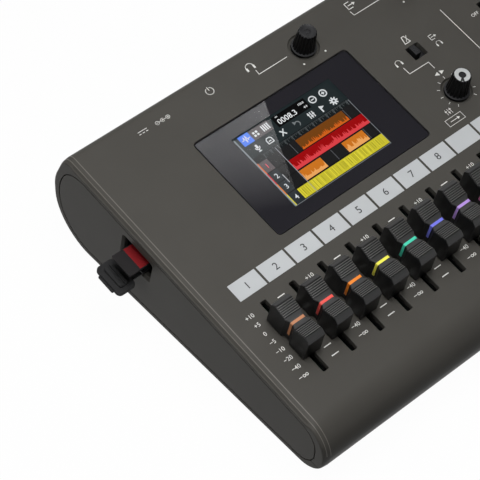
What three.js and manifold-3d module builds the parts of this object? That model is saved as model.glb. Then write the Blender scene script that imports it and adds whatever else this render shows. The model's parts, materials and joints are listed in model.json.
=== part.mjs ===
// A desktop multitrack recorder: a wedge-shaped case with ten faders, a colour screen, knobs and keys on a
// sloping panel, sockets along its back, a memory card in its left end and four cells in its base.
// Lengths are in millimetres, angles in degrees, and +Z is up.
// The case is drawn from its left bead line (x), its front-most line (y) and its underside (z).
// The panel has a frame of its own: u to the right, v up the slope and w out of the surface.
import * as THREE from "three";
import { mergeVertices } from "three/addons/utils/BufferGeometryUtils.js";
import Module from "manifold-3d";

const wasm = await Module();
wasm.setup();

// Clearances and drawing steps
const gap = 0.3; // between two pieces that seat on each other
const overrun = 1; // how far a cutting solid passes the face that it opens
const weld = 1e-4; // vertices closer than this are one vertex
const arcStep = 9; // degrees turned by one facet of a rounded outline
const cornerStep = 30; // the same for the small corners of plates and windows
const edgeSteps = 3; // facets across a rounded end edge of the case
const straightShare = 0.01; // of an edge, kept straight where its rounded corners would meet
const roundSides = 24; // facets round a socket, a foot or a shaft
const pinSides = 8; // facets round a pin hole

// Case
const panelWidth = 250; // between the two bead lines
const endRim = 3; // from a bead line to the end face
const caseDepth = 155.2;
const frontHeight = 26; // underside to the front end of the flat panel
const noseDepth = 11.3; // front-most line to the front end of the flat panel
const panelSlope = 8.53;
const backSlant = 23; // lean of the upper back, from the vertical
const backKneeHeight = 29.3; // where the lean starts
const noseUpperRadius = 13.2;
const noseLowerRadius = 12.5;
const heelRadius = 22;
const heelInnerRadius = 12;
const kneeRadius = 33;
const backEdgeRadius = 2.6;
const endEdgeRadius = 2;
const rimDrop = 0.4; // the rim outside a bead line lies this much lower
const wall = 2.5;
const endWall = 2.5;
const seamHeight = 6; // where the upper and the lower case meet
const connectorRecess = 2.6; // depth of the flat land in the back
const connectorRecessHeight = 22;
const connectorRecessMargin = 12; // from a bead line to the end of the land

// End caps
const capInset = { bottom: 2.5, back: 3, slant: 3.4, panel: 3, front: 5 };
const capRadius = { bottom: 9, back: 19, slant: 26, panel: 13, front: 9 };
const capPlate = endWall + gap;
const capFlange = 1.2;
const capFlangeReach = 2;

// Screen
const glassWidth = 79;
const glassHeight = 50.4;
const glassCentre = { u: 80.4, v: 89.2 };
const glassRadius = 3;
const glassThickness = 1.5;
const displayWidth = 64;
const displayHeight = 46;
const displayThickness = 4;
const displayBorder = 2; // of the display behind the window's edge
const displaySetoff = 0.8; // the display sits this much left of the glass centre

// Faders
const faderCount = 10;
const faderPitch = 14;
const firstFader = 17.2;
const faderTravel = 30;
const faderLowEnd = 14; // v of the bottom of the travel
const faderRest = 15.4; // how far up its travel each fader stands
const faderMiddle = faderLowEnd + faderTravel / 2;
const slotWidth = 2.8;
const slotSetoff = 0.3; // the middle of a slot lies this much below the middle of the travel
const slotLength = 35.3;
const slotRadius = 0.6;
const trackWidth = 8;
const trackLength = 45;
const trackTop = 0.5; // space between the case wall and a track
const trackSlotWidth = 2;
const trackSlotDepth = 3;
const stemWidth = 1.2;
const stemLength = 4;
const stemReach = 2; // how far a stem enters its track
const grip = {
  length: 20.8,
  width: 8.8,
  lift: 0.8, // space between the panel and the cap
  crestHeight: 12.9,
  waistHeight: 10.9,
  endHeight: 11.2,
  crestSetback: 2.2,
  waistWidth: 6.6,
  waistLength: 0.9,
  flankLength: 2.3, // end of the narrowing on each side of the waist
  lineLength: 1.2,
};
const gripTopShare = 0.9; // width of the top as a share of the width at the panel

// Knobs
const knobSkirtRadius = 5.3;
const knobSkirtTop = 0.5;
const knobSkirtDrop = 0.7;
const knobFootRadius = 4.7;
const knobTopRadius = 3.75;
const knobHeight = 10.2;
const knobFlutes = 18;
const knobFluteDepth = 0.4;
const knobBoreDepth = 6.5;
const wellRadius = 6.6;
const wellDepth = 1.3;
const shaftRadius = 3;
const potWidth = 10;
const potLength = 11;
const potTop = 0.6; // space between the case wall and a control's housing
const upperRow = 124.8; // v of the knobs along the top of the panel
const phonesKnobPlace = 107.1;
const outputKnobPlace = 161.7;
const balanceKnobPlace = { u: 143.3, v: 73.3 };
const inputSetbacks = [63, 30]; // from the right bead line to each input's knob and socket
const inputPlaces = inputSetbacks.map((setback) => panelWidth - setback);

// Slide switches on the panel
const switchWindow = { width: 6.8, length: 6.5 };
const switchSliderSpace = 0.7; // of a window's length, left free by its slider
const switchSliderLength = switchWindow.length - switchSliderSpace;
const switchSlider = { width: 3.2, length: switchSliderLength, rise: 1.3, topShare: 0.7 };
const switchBody = { width: 9.6, length: 8.4 };
const switchSliderFoot = 0.6; // how far a slider reaches below the wall
const switchRow = 96.55;

// Transport keys
const keyWidth = 18;
const keyLengths = [10, 14];
const keyPitch = 23.5;
const keyRows = [60, 36];
const keyColumns = 3;
const keySetback = 19; // from the right bead line to the middle of the last column
const keyColumn = panelWidth - keySetback - (keyColumns - 1) * keyPitch;
const keyRise = 1.4;
const keyTravel = 0.6;
const keyTopShare = 0.94;
const keyFlangeReach = 0.8;
const keyFlange = 0.8;
const matSheet = 1.2;
const matPostRadius = 4;
const matPostTopRadius = 3;
const matMargin = 2;

// Circuit boards
const board = 1.6;
const boardDrop = 9; // wall to the boards under the panel
const boardSetback = { control: 4, knob: 20, main: 14 }; // from the right bead line
const controlBoard = { left: 1.6, right: panelWidth - boardSetback.control, front: 58, back: 112 };
const keyBoard = { left: 168, front: 24 };
const knobBoard = { left: 99, right: panelWidth - boardSetback.knob, front: 118, back: 131.5 };
const faderBoardMargin = { left: 9.2, right: 8.8, end: 2.5 };
const lastFader = firstFader + (faderCount - 1) * faderPitch;
const faderBoard = {
  left: firstFader - faderBoardMargin.left,
  right: lastFader + faderBoardMargin.right,
  front: faderMiddle - trackLength / 2 - faderBoardMargin.end,
  back: faderMiddle + trackLength / 2 + faderBoardMargin.end,
};
const mainBoard = { left: 18, right: panelWidth - boardSetback.main, front: 74, back: 121 };
const boardPostRadius = 3;
const boardPostMargin = 6;

// Memory card, its socket and the cover of its slot
const slotCentre = { v: 93.1, depth: 12.85 };
const slotOpening = { length: 16, height: 11.1, chamfer: 0.9, chamferDepth: 1.4 };
const card = { length: 15, width: 11, thickness: 0.7, depth: 10, out: 8.3, v: 92.5 };
const cardSocket = { length: 14.6, width: 14.5, lift: 1 };
const cardTravelIn = 9;
const cover = { length: 8.6, width: 14.7, thickness: 1.8, radius: 2, plug: 0.9, plugMargin: 2.2 };
const coverStrap = { width: 9, thickness: 0.8, reach: 4.4, lift: 0.4, face: 0.55, bead: 0.65 };
const coverTab = { width: 8.6, reach: 0.9, thickness: 1 };

// Sockets and switch along the back
const socketHeight = 21.5; // underside to the sockets' centres
const socketHole = 3.3;
const phonesPlace = 83.7;
const outputPlaces = [128, 148];
const lineSocket = { width: 15, height: 14, depth: 25, bushRadius: 5.4, proud: 1.8, holeDepth: 22 };
const comboSocket = { width: 23, height: 17, depth: 24, bushRadius: 10.6, proud: 0.4, holeDepth: 20 };
const comboPin = { radius: 1.5, circle: 7, depth: 9, spread: 120 };
const powerInlet = { place: 34, width: 9.2, height: 3.6, depth: 7.6, lip: 0.5, holeDepth: 6 };
const rearSwitch = { place: 62, window: 9, height: 4.4, width: 4.4, proud: 1.2, foot: 1.2, footReach: 2 };
const rearSwitchBody = { width: 20, height: 9, depth: 6 };

// Cells and their bay
const cellCount = 4;
const cellRadius = 7.2;
const cellLength = 49.3;
const cellNubRadius = 2.6;
const cellNub = 1.1;
const cellSpace = 0.5; // between two cells
const bayCentre = 122.5;
const bayFront = 64;
const bayWall = 1.5;
const doorThickness = 2;
const doorGrip = { width: 14, length: 3, depth: 0.8, setback: 5 };

// Feet
const footRadius = 6;
const footHeight = 2.5;
const footSeat = 0.8;
const footMargin = { side: 20, front: 22, back: 28 };

// Colours and surface values, as the object shows them
const casePlastic = { color: 0x4a4845, roughness: 0.62 };
const capPlasticLook = { color: 0x1b1b1c, roughness: 0.5 };
const knobLook = { color: 0x161617, roughness: 0.42 };
const keyLook = { color: 0x2d2c2b, roughness: 0.55 };
const rubberLook = { color: 0x202021, roughness: 0.8 };
const glassLook = { color: 0x0b0b0d, roughness: 0.08 };
const socketLook = { color: 0x141414, roughness: 0.4 };
const boardLook = { color: 0x1c4a2c, roughness: 0.5 };
const metalLook = { color: 0xb9bbbd, roughness: 0.35, metalness: 0.9 };
const cellLook = { color: 0x35523f, roughness: 0.35, metalness: 0.3 };

const degree = Math.PI / 180;
const slope = panelSlope * degree;
const rightEnd = panelWidth + endRim;

// Solids

// A closed geometry as a solid that can be joined and cut.
function solid(geometry) {
  const bare = geometry.clone();
  bare.deleteAttribute("normal");
  bare.deleteAttribute("uv");
  const merged = mergeVertices(bare, weld);
  const vertProperties = merged.attributes.position.array;
  const triVerts = new Uint32Array(merged.index.array);
  return new wasm.Manifold(new wasm.Mesh({ numProp: 3, vertProperties, triVerts }));
}

// A solid as a flat-shaded geometry.
function geometryOf(made) {
  const found = made.getMesh();
  const indexed = new THREE.BufferGeometry();
  indexed.setAttribute("position", new THREE.BufferAttribute(found.vertProperties, found.numProp));
  indexed.setIndex(new THREE.BufferAttribute(found.triVerts, 1));
  const geometry = indexed.toNonIndexed();
  geometry.computeVertexNormals();
  return geometry;
}

const joined = (first, ...others) => others.reduce((sum, other) => sum.add(other), first);
const cut = (first, ...tools) => tools.reduce((rest, tool) => rest.subtract(tool), first);

// A box between two corners.
function block([lowX, lowY, lowZ], [highX, highY, highZ]) {
  const geometry = new THREE.BoxGeometry(highX - lowX, highY - lowY, highZ - lowZ);
  geometry.translate((lowX + highX) / 2, (lowY + highY) / 2, (lowZ + highZ) / 2);
  return geometry;
}

// A box whose top is narrowed to a share of its foot.
function taperedBlock(width, length, low, high, topShare) {
  const geometry = block([-width / 2, -length / 2, low], [width / 2, length / 2, high]);
  const middle = (low + high) / 2;
  return narrowedAbove(geometry, middle, topShare, topShare);
}

// Points above a level move towards the axis.
function narrowedAbove(geometry, level, shareX, shareY) {
  const points = geometry.attributes.position;
  for (let i = 0; i < points.count; i += 1) {
    if (points.getZ(i) > level) points.setXY(i, points.getX(i) * shareX, points.getY(i) * shareY);
  }
  return geometry;
}

// A round bar along z.
function bar(radius, low, high, sides = roundSides, topRadius = radius) {
  const geometry = new THREE.CylinderGeometry(topRadius, radius, high - low, sides);
  geometry.rotateX(90 * degree);
  geometry.translate(0, 0, (low + high) / 2);
  return geometry;
}

// A rectangle with rounded corners, pushed up from one level to another.
function roundedPlate(width, length, radius, low, high, centre = { u: 0, v: 0 }) {
  const shape = new THREE.Shape(
    roundedOutline(
      [
        { at: [-width / 2, -length / 2], angle: 0, radius },
        { at: [width / 2, -length / 2], angle: 90, radius },
        { at: [width / 2, length / 2], angle: 180, radius },
        { at: [-width / 2, length / 2], angle: 270, radius },
      ],
      cornerStep,
    ),
  );
  const geometry = new THREE.ExtrudeGeometry(shape, { depth: high - low, bevelEnabled: false });
  geometry.translate(centre.u, centre.v, low);
  return geometry;
}

// An outline that goes round anticlockwise along straight edges and turns each corner on an arc.
// An edge has a point on it, the angle that it runs at, and the radius of the corner where it starts.
// A corner that would run past its own half of an edge is limited to what the edge has room for.
function roundedOutline(edges, step = arcStep) {
  const corners = edges.map((edge, i) => {
    const before = edges.at(i - 1);
    const turn = (edge.angle - before.angle + 360) % 360;
    const from = new THREE.Vector2(Math.cos(before.angle * degree), Math.sin(before.angle * degree));
    const to = new THREE.Vector2(Math.cos(edge.angle * degree), Math.sin(edge.angle * degree));
    const start = new THREE.Vector2(...before.at);
    const across = new THREE.Vector2(...edge.at).sub(start);
    const at = start.addScaledVector(from, across.cross(to) / from.cross(to));
    const spread = Math.tan((turn * degree) / 2);
    return { at, turn, from, angle: before.angle, radius: edge.radius, spread };
  });
  const reach = ({ radius, spread }) => radius * spread;
  const room = corners.map((corner, i) => {
    const next = corners.at((i + 1) % corners.length);
    const length = corner.at.distanceTo(next.at) * (1 - straightShare);
    return Math.min(1, length / (reach(corner) + reach(next)));
  });
  return corners.flatMap(({ at, turn, from, angle, radius, spread }, i) => {
    const limited = radius * Math.min(room[i], room.at(i - 1));
    const inward = new THREE.Vector2(-from.y, from.x);
    const centre = at.clone().addScaledVector(from, -limited * spread).addScaledVector(inward, limited);
    const count = Math.max(2, Math.ceil(turn / step));
    return Array.from({ length: count + 1 }, (_, k) => {
      const heading = (angle - 90 + (turn * k) / count) * degree;
      const spoke = new THREE.Vector2(Math.cos(heading), Math.sin(heading));
      return centre.clone().addScaledVector(spoke, limited);
    });
  });
}

// The section of the case in the y-z plane, each edge moved inwards by its inset.
function section(inset, radius) {
  const edges = [
    { name: "bottom", at: [0, 0], angle: 0 },
    { name: "back", at: [caseDepth, 0], angle: 90 },
    { name: "slant", at: [caseDepth, backKneeHeight], angle: 90 + backSlant },
    { name: "panel", at: [noseDepth, frontHeight], angle: 180 + panelSlope },
    { name: "front", at: [0, 0], angle: 270 },
  ];
  return roundedOutline(
    edges.map(({ name, at, angle }) => {
      const inward = (angle + 90) * degree;
      const [y, z] = at;
      const within = [y + inset[name] * Math.cos(inward), z + inset[name] * Math.sin(inward)];
      return { at: within, angle, radius: radius[name] };
    }),
  );
}

const caseRadius = {
  bottom: noseLowerRadius,
  back: heelRadius,
  slant: kneeRadius,
  panel: backEdgeRadius,
  front: noseUpperRadius,
};
const edgeNames = Object.keys(caseRadius);
const everyEdge = (value) => Object.fromEntries(edgeNames.map((name) => [name, value]));
const changed = (values, change) =>
  Object.fromEntries(edgeNames.map((name) => [name, values[name] + change]));
const smallestRadius = gap;
const eased = (values, inset) =>
  Object.fromEntries(edgeNames.map((name) => [name, Math.max(values[name] - inset, smallestRadius)]));

const caseSection = (inset) => section(everyEdge(inset), eased(caseRadius, inset));
const rearWallInset = connectorRecess + wall;
const cavitySection = (inset) => {
  const insets = { ...everyEdge(wall + inset), back: rearWallInset + inset };
  return section(insets, { ...eased(caseRadius, wall + inset), back: heelInnerRadius - inset });
};
const capSection = (inset) => section(changed(capInset, inset), eased(capRadius, inset));

// A section carried along x. Its long edges at both ends are rounded when a radius is given.
function alongCase(points, low, high, radius = 0) {
  const geometry = new THREE.ExtrudeGeometry(new THREE.Shape(points), {
    depth: high - low - 2 * radius,
    bevelEnabled: radius > 0,
    bevelThickness: radius,
    bevelSize: radius,
    bevelOffset: -radius,
    bevelSegments: edgeSteps,
  });
  const axes = [new THREE.Vector3(0, 1, 0), new THREE.Vector3(0, 0, 1), new THREE.Vector3(1, 0, 0)];
  geometry.applyMatrix4(new THREE.Matrix4().makeBasis(...axes));
  geometry.translate(low + radius, 0, 0);
  return geometry;
}

// Scene graph

const recorder = new THREE.Group();
const body = new THREE.Group();
recorder.add(body);

// The panel's frame: its origin is the front end of the left bead line.
const panel = new THREE.Group();
panel.position.set(0, noseDepth, frontHeight);
panel.rotation.x = slope;
body.add(panel);
panel.updateMatrix();
const onPanel = (geometry) => geometry.clone().applyMatrix4(panel.matrix);

// The back's frame: its origin is on the flat land, level with the sockets' centres, with +y outwards.
const landPlace = caseDepth - connectorRecess;
const back = new THREE.Group();
back.position.set(0, landPlace, socketHeight);
body.add(back);
back.updateMatrix();
const onBack = (geometry) => geometry.clone().applyMatrix4(back.matrix);

function piece(parent, name, made, look, place = [0, 0, 0]) {
  const material = new THREE.MeshStandardMaterial(look);
  const mesh = new THREE.Mesh(made.isBufferGeometry ? made : geometryOf(made), material);
  mesh.name = name;
  mesh.position.set(...place);
  parent.add(mesh);
  return mesh;
}

const moved = (geometry, x, y, z) => geometry.clone().translate(x, y, z);
const displayCentre = { u: glassCentre.u - displaySetoff, v: glassCentre.v };
const faderPlaces = Array.from({ length: faderCount }, (_, i) => firstFader + i * faderPitch);
const faderPlace = faderLowEnd + faderRest;
const slotMiddle = faderMiddle - slotSetoff;
const switchPlaces = [
  { name: "click_switch", u: balanceKnobPlace.u },
  { name: "instrument_switch", u: inputPlaces[0] - switchWindow.width / 2 },
  { name: "phantom_switch", u: inputPlaces[1] - switchWindow.width / 2 },
];
const knobPlaces = [
  { name: "phones", u: phonesKnobPlace, v: upperRow },
  { name: "output", u: outputKnobPlace, v: upperRow },
  { name: "balance", u: balanceKnobPlace.u, v: balanceKnobPlace.v },
  { name: "gain_1", u: inputPlaces[0], v: upperRow },
  { name: "gain_2", u: inputPlaces[1], v: upperRow },
];
const keyNames = [
  ["return_key", "rewind_key", "forward_key"],
  ["stop_key", "play_key", "record_key"],
];
const keys = keyNames.flatMap((names, row) =>
  names.map((name, i) => ({
    name,
    u: keyColumn + i * keyPitch,
    v: keyRows[row],
    length: keyLengths[row],
  })),
);
const boardTop = -wall - boardDrop;

// Case

function shell() {
  const outside = joined(
    solid(alongCase(caseSection(0), 0, panelWidth)),
    solid(alongCase(caseSection(rimDrop), -endRim, rightEnd, endEdgeRadius)),
  );
  const low = -endRim + endWall;
  const cavity = solid(alongCase(cavitySection(0), low, rightEnd - endWall));
  const mouth = solid(alongCase(capSection(0), -endRim - overrun, rightEnd + overrun));
  const land = solid(
    onBack(
      block(
        [connectorRecessMargin, 0, -connectorRecessHeight / 2],
        [panelWidth - connectorRecessMargin, connectorRecess + overrun, connectorRecessHeight / 2],
      ),
    ),
  );
  return cut(outside, cavity, mouth, land);
}

const whole = shell();
const farBelow = [-endRim - overrun, -overrun, -overrun];
const farAbove = [rightEnd + overrun, caseDepth + overrun, caseDepth];

function topCase() {
  const lower = block(farBelow, [farAbove[0], farAbove[1], seamHeight + gap / 2]);
  const through = wall + overrun;
  const onTop = (geometry) => solid(onPanel(geometry));
  const glassHole = onTop(
    roundedPlate(
      glassWidth + 2 * gap,
      glassHeight + 2 * gap,
      glassRadius,
      -glassThickness - gap,
      overrun,
      glassCentre,
    ),
  );
  const windowWidth = displayWidth - 2 * displayBorder;
  const windowHeight = displayHeight - 2 * displayBorder;
  const window = onTop(
    roundedPlate(windowWidth, windowHeight, slotRadius, -through, overrun, displayCentre),
  );
  const slots = faderPlaces.map((u) =>
    onTop(
      roundedPlate(slotWidth, slotLength, slotRadius, -through, overrun, { u, v: slotMiddle }),
    ),
  );
  const wells = knobPlaces.flatMap(({ u, v }) => [
    onTop(moved(bar(wellRadius, -wellDepth, overrun), u, v, 0)),
    onTop(moved(bar(shaftRadius + 2 * gap, -through, overrun), u, v, 0)),
  ]);
  const switchHoles = switchPlaces.map(({ u }) =>
    onTop(
      roundedPlate(switchWindow.width, switchWindow.length, slotRadius, -through, overrun, {
        u,
        v: switchRow,
      }),
    ),
  );
  const keyHoles = keys.map(({ u, v, length }) =>
    onTop(
      roundedPlate(keyWidth + 2 * gap, length + 2 * gap, slotRadius + gap, -through, overrun, { u, v }),
    ),
  );
  const throughWall = (radius) => bar(radius + gap, -overrun, wall + overrun).rotateX(90 * degree);
  const roundHoles = [
    ...[phonesPlace, ...outputPlaces].map((x) => [x, lineSocket.bushRadius]),
    ...inputPlaces.map((x) => [x, comboSocket.bushRadius]),
  ].map(([x, radius]) => solid(onBack(moved(throughWall(radius), x, 0, 0))));
  const slotInWall = (place, width, height) =>
    solid(
      onBack(
        block(
          [place - width / 2, -wall - overrun, -height / 2],
          [place + width / 2, overrun, height / 2],
        ),
      ),
    );
  const inletHole = slotInWall(
    powerInlet.place,
    powerInlet.width + 2 * gap,
    powerInlet.height + 2 * gap,
  );
  const rearSwitchHole = slotInWall(rearSwitch.place, rearSwitch.window, rearSwitch.height);
  return cut(
    whole,
    solid(lower),
    glassHole,
    window,
    ...slots,
    ...wells,
    ...switchHoles,
    ...keyHoles,
    ...roundHoles,
    inletHole,
    rearSwitchHole,
  );
}

const cellSpread = 2 * cellRadius + cellSpace;
const bayWidth = cellCount * cellSpread + cellSpace;
const bayLength = cellLength + cellNub + 2 * cellSpace;
const bayHeight = doorThickness + 2 * cellRadius + 2 * gap;
const bayBack = bayFront + bayLength;
const bayRoof = bayHeight + bayWall;
const footPlaces = [
  ["foot_front_left", footMargin.side, footMargin.front],
  ["foot_front_right", panelWidth - footMargin.side, footMargin.front],
  ["foot_back_left", footMargin.side, caseDepth - footMargin.back],
  ["foot_back_right", panelWidth - footMargin.side, caseDepth - footMargin.back],
];

function bottomCase() {
  const upper = block([farBelow[0], farBelow[1], seamHeight - gap / 2], farAbove);
  const tray = cut(whole, solid(upper));
  const bay = block(
    [bayCentre - bayWidth / 2 - bayWall, bayFront - bayWall, 0],
    [bayCentre + bayWidth / 2 + bayWall, bayBack + bayWall, bayRoof],
  );
  const inside = block(
    [bayCentre - bayWidth / 2, bayFront, -overrun],
    [bayCentre + bayWidth / 2, bayBack, bayHeight],
  );
  const seats = footPlaces.map(([, x, y]) =>
    solid(moved(bar(footRadius + gap, -overrun, footSeat), x, y, 0)),
  );
  const posts = [mainBoard.left + boardPostMargin, mainBoard.right - boardPostMargin].flatMap((x) =>
    [mainBoard.front + boardPostMargin, mainBoard.back - boardPostMargin].map((y) =>
      solid(moved(bar(boardPostRadius, wall / 2, bayRoof, roundSides / 2), x, y, 0)),
    ),
  );
  return cut(joined(tray, solid(bay), ...posts), solid(inside), ...seats);
}

// The end cap is held from inside by a flange that is wider than the opening that it closes.
function endCap() {
  const inner = -endRim + capPlate;
  const plate = solid(alongCase(capSection(gap), -endRim, inner + capFlange / 2));
  const wide = solid(alongCase(capSection(-capFlangeReach), inner, inner + capFlange));
  const within = solid(alongCase(cavitySection(gap), inner - overrun, inner + capFlange + overrun));
  return joined(plate, wide.intersect(within));
}

function slotCut() {
  const { length, height, chamfer, chamferDepth } = slotOpening;
  const hole = block(
    [-endRim - overrun, slotCentre.v - length / 2, -slotCentre.depth - height / 2],
    [capFlange + overrun, slotCentre.v + length / 2, -slotCentre.depth + height / 2],
  );
  const flare = taperedBlock(
    height + 2 * chamfer,
    length + 2 * chamfer,
    -chamferDepth,
    chamferDepth,
    (length - 2 * chamfer) / (length + 2 * chamfer),
  );
  flare.rotateY(90 * degree);
  flare.translate(-endRim, slotCentre.v, -slotCentre.depth);
  return [solid(onPanel(hole)), solid(onPanel(flare))];
}

piece(body, "top_case", topCase(), casePlastic);
piece(body, "bottom_case", bottomCase(), casePlastic);
piece(body, "left_end_cap", cut(endCap(), ...slotCut()), casePlastic);
const rightCap = endCap().mirror([1, 0, 0]).translate([panelWidth, 0, 0]);
piece(body, "right_end_cap", rightCap, casePlastic);
footPlaces.forEach(([name, x, y]) => {
  piece(body, name, bar(footRadius, -footHeight, footSeat - gap), rubberLook, [x, y, 0]);
});

// Screen

const glass = roundedPlate(glassWidth, glassHeight, glassRadius, -glassThickness, 0, glassCentre);
piece(panel, "screen_glass", solid(glass), glassLook);
const displayTop = -wall - gap;
const display = roundedPlate(
  displayWidth,
  displayHeight,
  slotRadius,
  displayTop - displayThickness,
  displayTop,
  displayCentre,
);
piece(panel, "display_module", solid(display), socketLook);

// Faders

function fader() {
  const half = grip.length / 2;
  const crest = half - grip.crestSetback;
  const side = [
    [-half, grip.lift],
    [half, grip.lift],
    [half, grip.endHeight],
    [crest, grip.crestHeight],
    [grip.lineLength, grip.waistHeight],
    [-grip.lineLength, grip.waistHeight],
    [-crest, grip.crestHeight],
    [-half, grip.endHeight],
  ].map((point) => new THREE.Vector2(...point));
  const profile = solid(alongCase(side, -grip.width, grip.width));
  const quarter = [
    [grip.width / 2, half],
    [grip.width / 2, grip.flankLength],
    [grip.waistWidth / 2, grip.waistLength],
  ];
  const plan = [
    ...quarter.map(([x, y]) => [x, -y]),
    ...quarter.toReversed(),
    ...quarter.map(([x, y]) => [-x, y]),
    ...quarter.toReversed().map(([x, y]) => [-x, -y]),
  ].map((point) => new THREE.Vector2(...point));
  const height = grip.crestHeight + overrun;
  const column = new THREE.ExtrudeGeometry(new THREE.Shape(plan), { depth: height, bevelEnabled: false });
  narrowedAbove(column, height / 2, gripTopShare, 1);
  const stem = block(
    [-stemWidth / 2, -stemLength / 2, -wall - trackTop - stemReach],
    [stemWidth / 2, stemLength / 2, grip.waistHeight / 2],
  );
  return joined(profile.intersect(solid(column)), solid(stem));
}

function faderTracks() {
  const top = -wall - trackTop;
  const sheet = block(
    [faderBoard.left, faderBoard.front, boardTop - board],
    [faderBoard.right, faderBoard.back, boardTop],
  );
  const low = faderMiddle - trackLength / 2;
  const tracks = faderPlaces.map((u) =>
    solid(
      block(
        [u - trackWidth / 2, low, boardTop - board / 2],
        [u + trackWidth / 2, low + trackLength, top],
      ),
    ),
  );
  const grooves = faderPlaces.map((u) =>
    solid(
      block(
        [u - trackSlotWidth / 2, faderMiddle - slotLength / 2, top - trackSlotDepth],
        [u + trackSlotWidth / 2, faderMiddle + slotLength / 2, top + overrun],
      ),
    ),
  );
  return cut(joined(solid(sheet), ...tracks), ...grooves);
}

const faderGeometry = geometryOf(fader());
faderPlaces.forEach((u, i) => {
  piece(panel, `fader_${i + 1}`, faderGeometry.clone(), capPlasticLook, [u, faderPlace, 0]);
});
piece(panel, "fader_board", faderTracks(), boardLook);

// Knobs

// A fluted, tapering knob with a round skirt, turned about z over a blind bore.
function knob() {
  const bore = shaftRadius + gap;
  const ceiling = knobBoreDepth + gap;
  const profile = [
    [0, ceiling],
    [bore, ceiling],
    [bore, -knobSkirtDrop],
    [knobSkirtRadius, -knobSkirtDrop],
    [knobSkirtRadius, knobSkirtTop],
    [knobFootRadius, knobSkirtTop],
    [knobTopRadius, knobHeight],
    [0, knobHeight],
  ].map((point) => new THREE.Vector2(...point));
  const geometry = new THREE.LatheGeometry(profile, 2 * knobFlutes);
  geometry.rotateX(90 * degree);
  const points = geometry.attributes.position;
  for (let i = 0; i < points.count; i += 1) {
    const ring = i % profile.length;
    const turn = Math.floor(i / profile.length);
    const fluted = profile[ring].x === knobTopRadius || profile[ring].x === knobFootRadius;
    if (fluted && turn % 2 === 1) {
      const share = 1 - knobFluteDepth / profile[ring].x;
      points.setXY(i, points.getX(i) * share, points.getY(i) * share);
    }
  }
  return geometry;
}

function pot() {
  const top = -wall - potTop;
  const housing = block(
    [-potWidth / 2, -potLength / 2, boardTop + gap],
    [potWidth / 2, potLength / 2, top],
  );
  const shaft = bar(shaftRadius, top - overrun, knobBoreDepth);
  return joined(solid(housing), solid(shaft));
}

const knobGeometry = knob();
const potGeometry = geometryOf(pot());
knobPlaces.forEach(({ name, u, v }) => {
  piece(panel, `${name}_knob`, knobGeometry.clone(), knobLook, [u, v, 0]);
  piece(panel, `${name}_pot`, potGeometry.clone(), metalLook, [u, v, 0]);
});

// Slide switches

const sliderFoot = -wall - switchSliderFoot;
const slider = taperedBlock(
  switchSlider.width,
  switchSlider.length,
  sliderFoot,
  switchSlider.rise,
  switchSlider.topShare,
);
const sliderRest = switchWindow.width / 2 - switchSlider.width / 2 - gap;
switchPlaces.forEach(({ name, u }) => {
  piece(panel, name, solid(slider), knobLook, [u - sliderRest, switchRow, 0]);
});

// Transport keys

const flangeTop = -wall - gap;
const flangeFoot = flangeTop - keyFlange;
keys.forEach(({ name, u, v, length }) => {
  const crown = taperedBlock(keyWidth, length, flangeTop - keyFlange / 2, keyRise, keyTopShare);
  const flange = block(
    [-keyWidth / 2 - keyFlangeReach, -length / 2 - keyFlangeReach, flangeFoot],
    [keyWidth / 2 + keyFlangeReach, length / 2 + keyFlangeReach, flangeTop],
  );
  piece(panel, name, joined(solid(crown), solid(flange)), keyLook, [u, v, 0]);
});

// One rubber mat with a post under each key.
function keyMat() {
  const low = boardTop + gap;
  const sheet = block(
    [
      keyColumn - keyWidth / 2 - matMargin,
      keyRows[1] - keyLengths[1] / 2 - matMargin,
      low,
    ],
    [
      keyColumn + (keyColumns - 1) * keyPitch + keyWidth / 2 + matMargin,
      keyRows[0] + keyLengths[0] / 2 + matMargin,
      low + matSheet,
    ],
  );
  const postTop = flangeFoot - keyTravel - gap;
  const posts = keys.map(({ u, v }) =>
    solid(moved(bar(matPostRadius, low, postTop, roundSides / 2, matPostTopRadius), u, v, 0)),
  );
  return joined(solid(sheet), ...posts);
}
piece(panel, "key_mat", keyMat(), rubberLook);

// Circuit boards

function controlBoardSolid() {
  const low = boardTop - board;
  const wide = block(
    [controlBoard.left, controlBoard.front, low],
    [controlBoard.right, controlBoard.back, boardTop],
  );
  const front = block(
    [keyBoard.left, keyBoard.front, low],
    [controlBoard.right, controlBoard.front + overrun, boardTop],
  );
  const switches = switchPlaces.map(({ u }) =>
    solid(
      block(
        [u - switchBody.width / 2, switchRow - switchBody.length / 2, boardTop - board / 2],
        [u + switchBody.width / 2, switchRow + switchBody.length / 2, sliderFoot - gap],
      ),
    ),
  );
  return joined(solid(wide), solid(front), ...switches);
}
piece(panel, "control_board", controlBoardSolid(), boardLook);
const knobSheet = block(
  [knobBoard.left, knobBoard.front, boardTop - board],
  [knobBoard.right, knobBoard.back, boardTop],
);
piece(panel, "knob_board", solid(knobSheet), boardLook);

// The main board lies on the roof of the cell bay. A tongue at its back carries the power switch's housing.
function mainBoardSolid() {
  const low = bayRoof + gap;
  const sheet = block(
    [mainBoard.left, mainBoard.front, low],
    [mainBoard.right, mainBoard.back, low + board],
  );
  const { place } = rearSwitch;
  const front = landPlace - wall - rearSwitch.foot - 2 * gap;
  const tongue = block(
    [place - rearSwitchBody.width / 2, mainBoard.back - overrun, low],
    [place + rearSwitchBody.width / 2, front, low + board],
  );
  const housing = block(
    [
      place - rearSwitchBody.width / 2,
      front - rearSwitchBody.depth,
      socketHeight - rearSwitchBody.height / 2,
    ],
    [place + rearSwitchBody.width / 2, front, socketHeight + rearSwitchBody.height / 2],
  );
  return joined(solid(sheet), solid(tongue), solid(housing));
}
piece(body, "main_board", mainBoardSolid(), boardLook);

// Memory card, socket and slot cover

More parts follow.
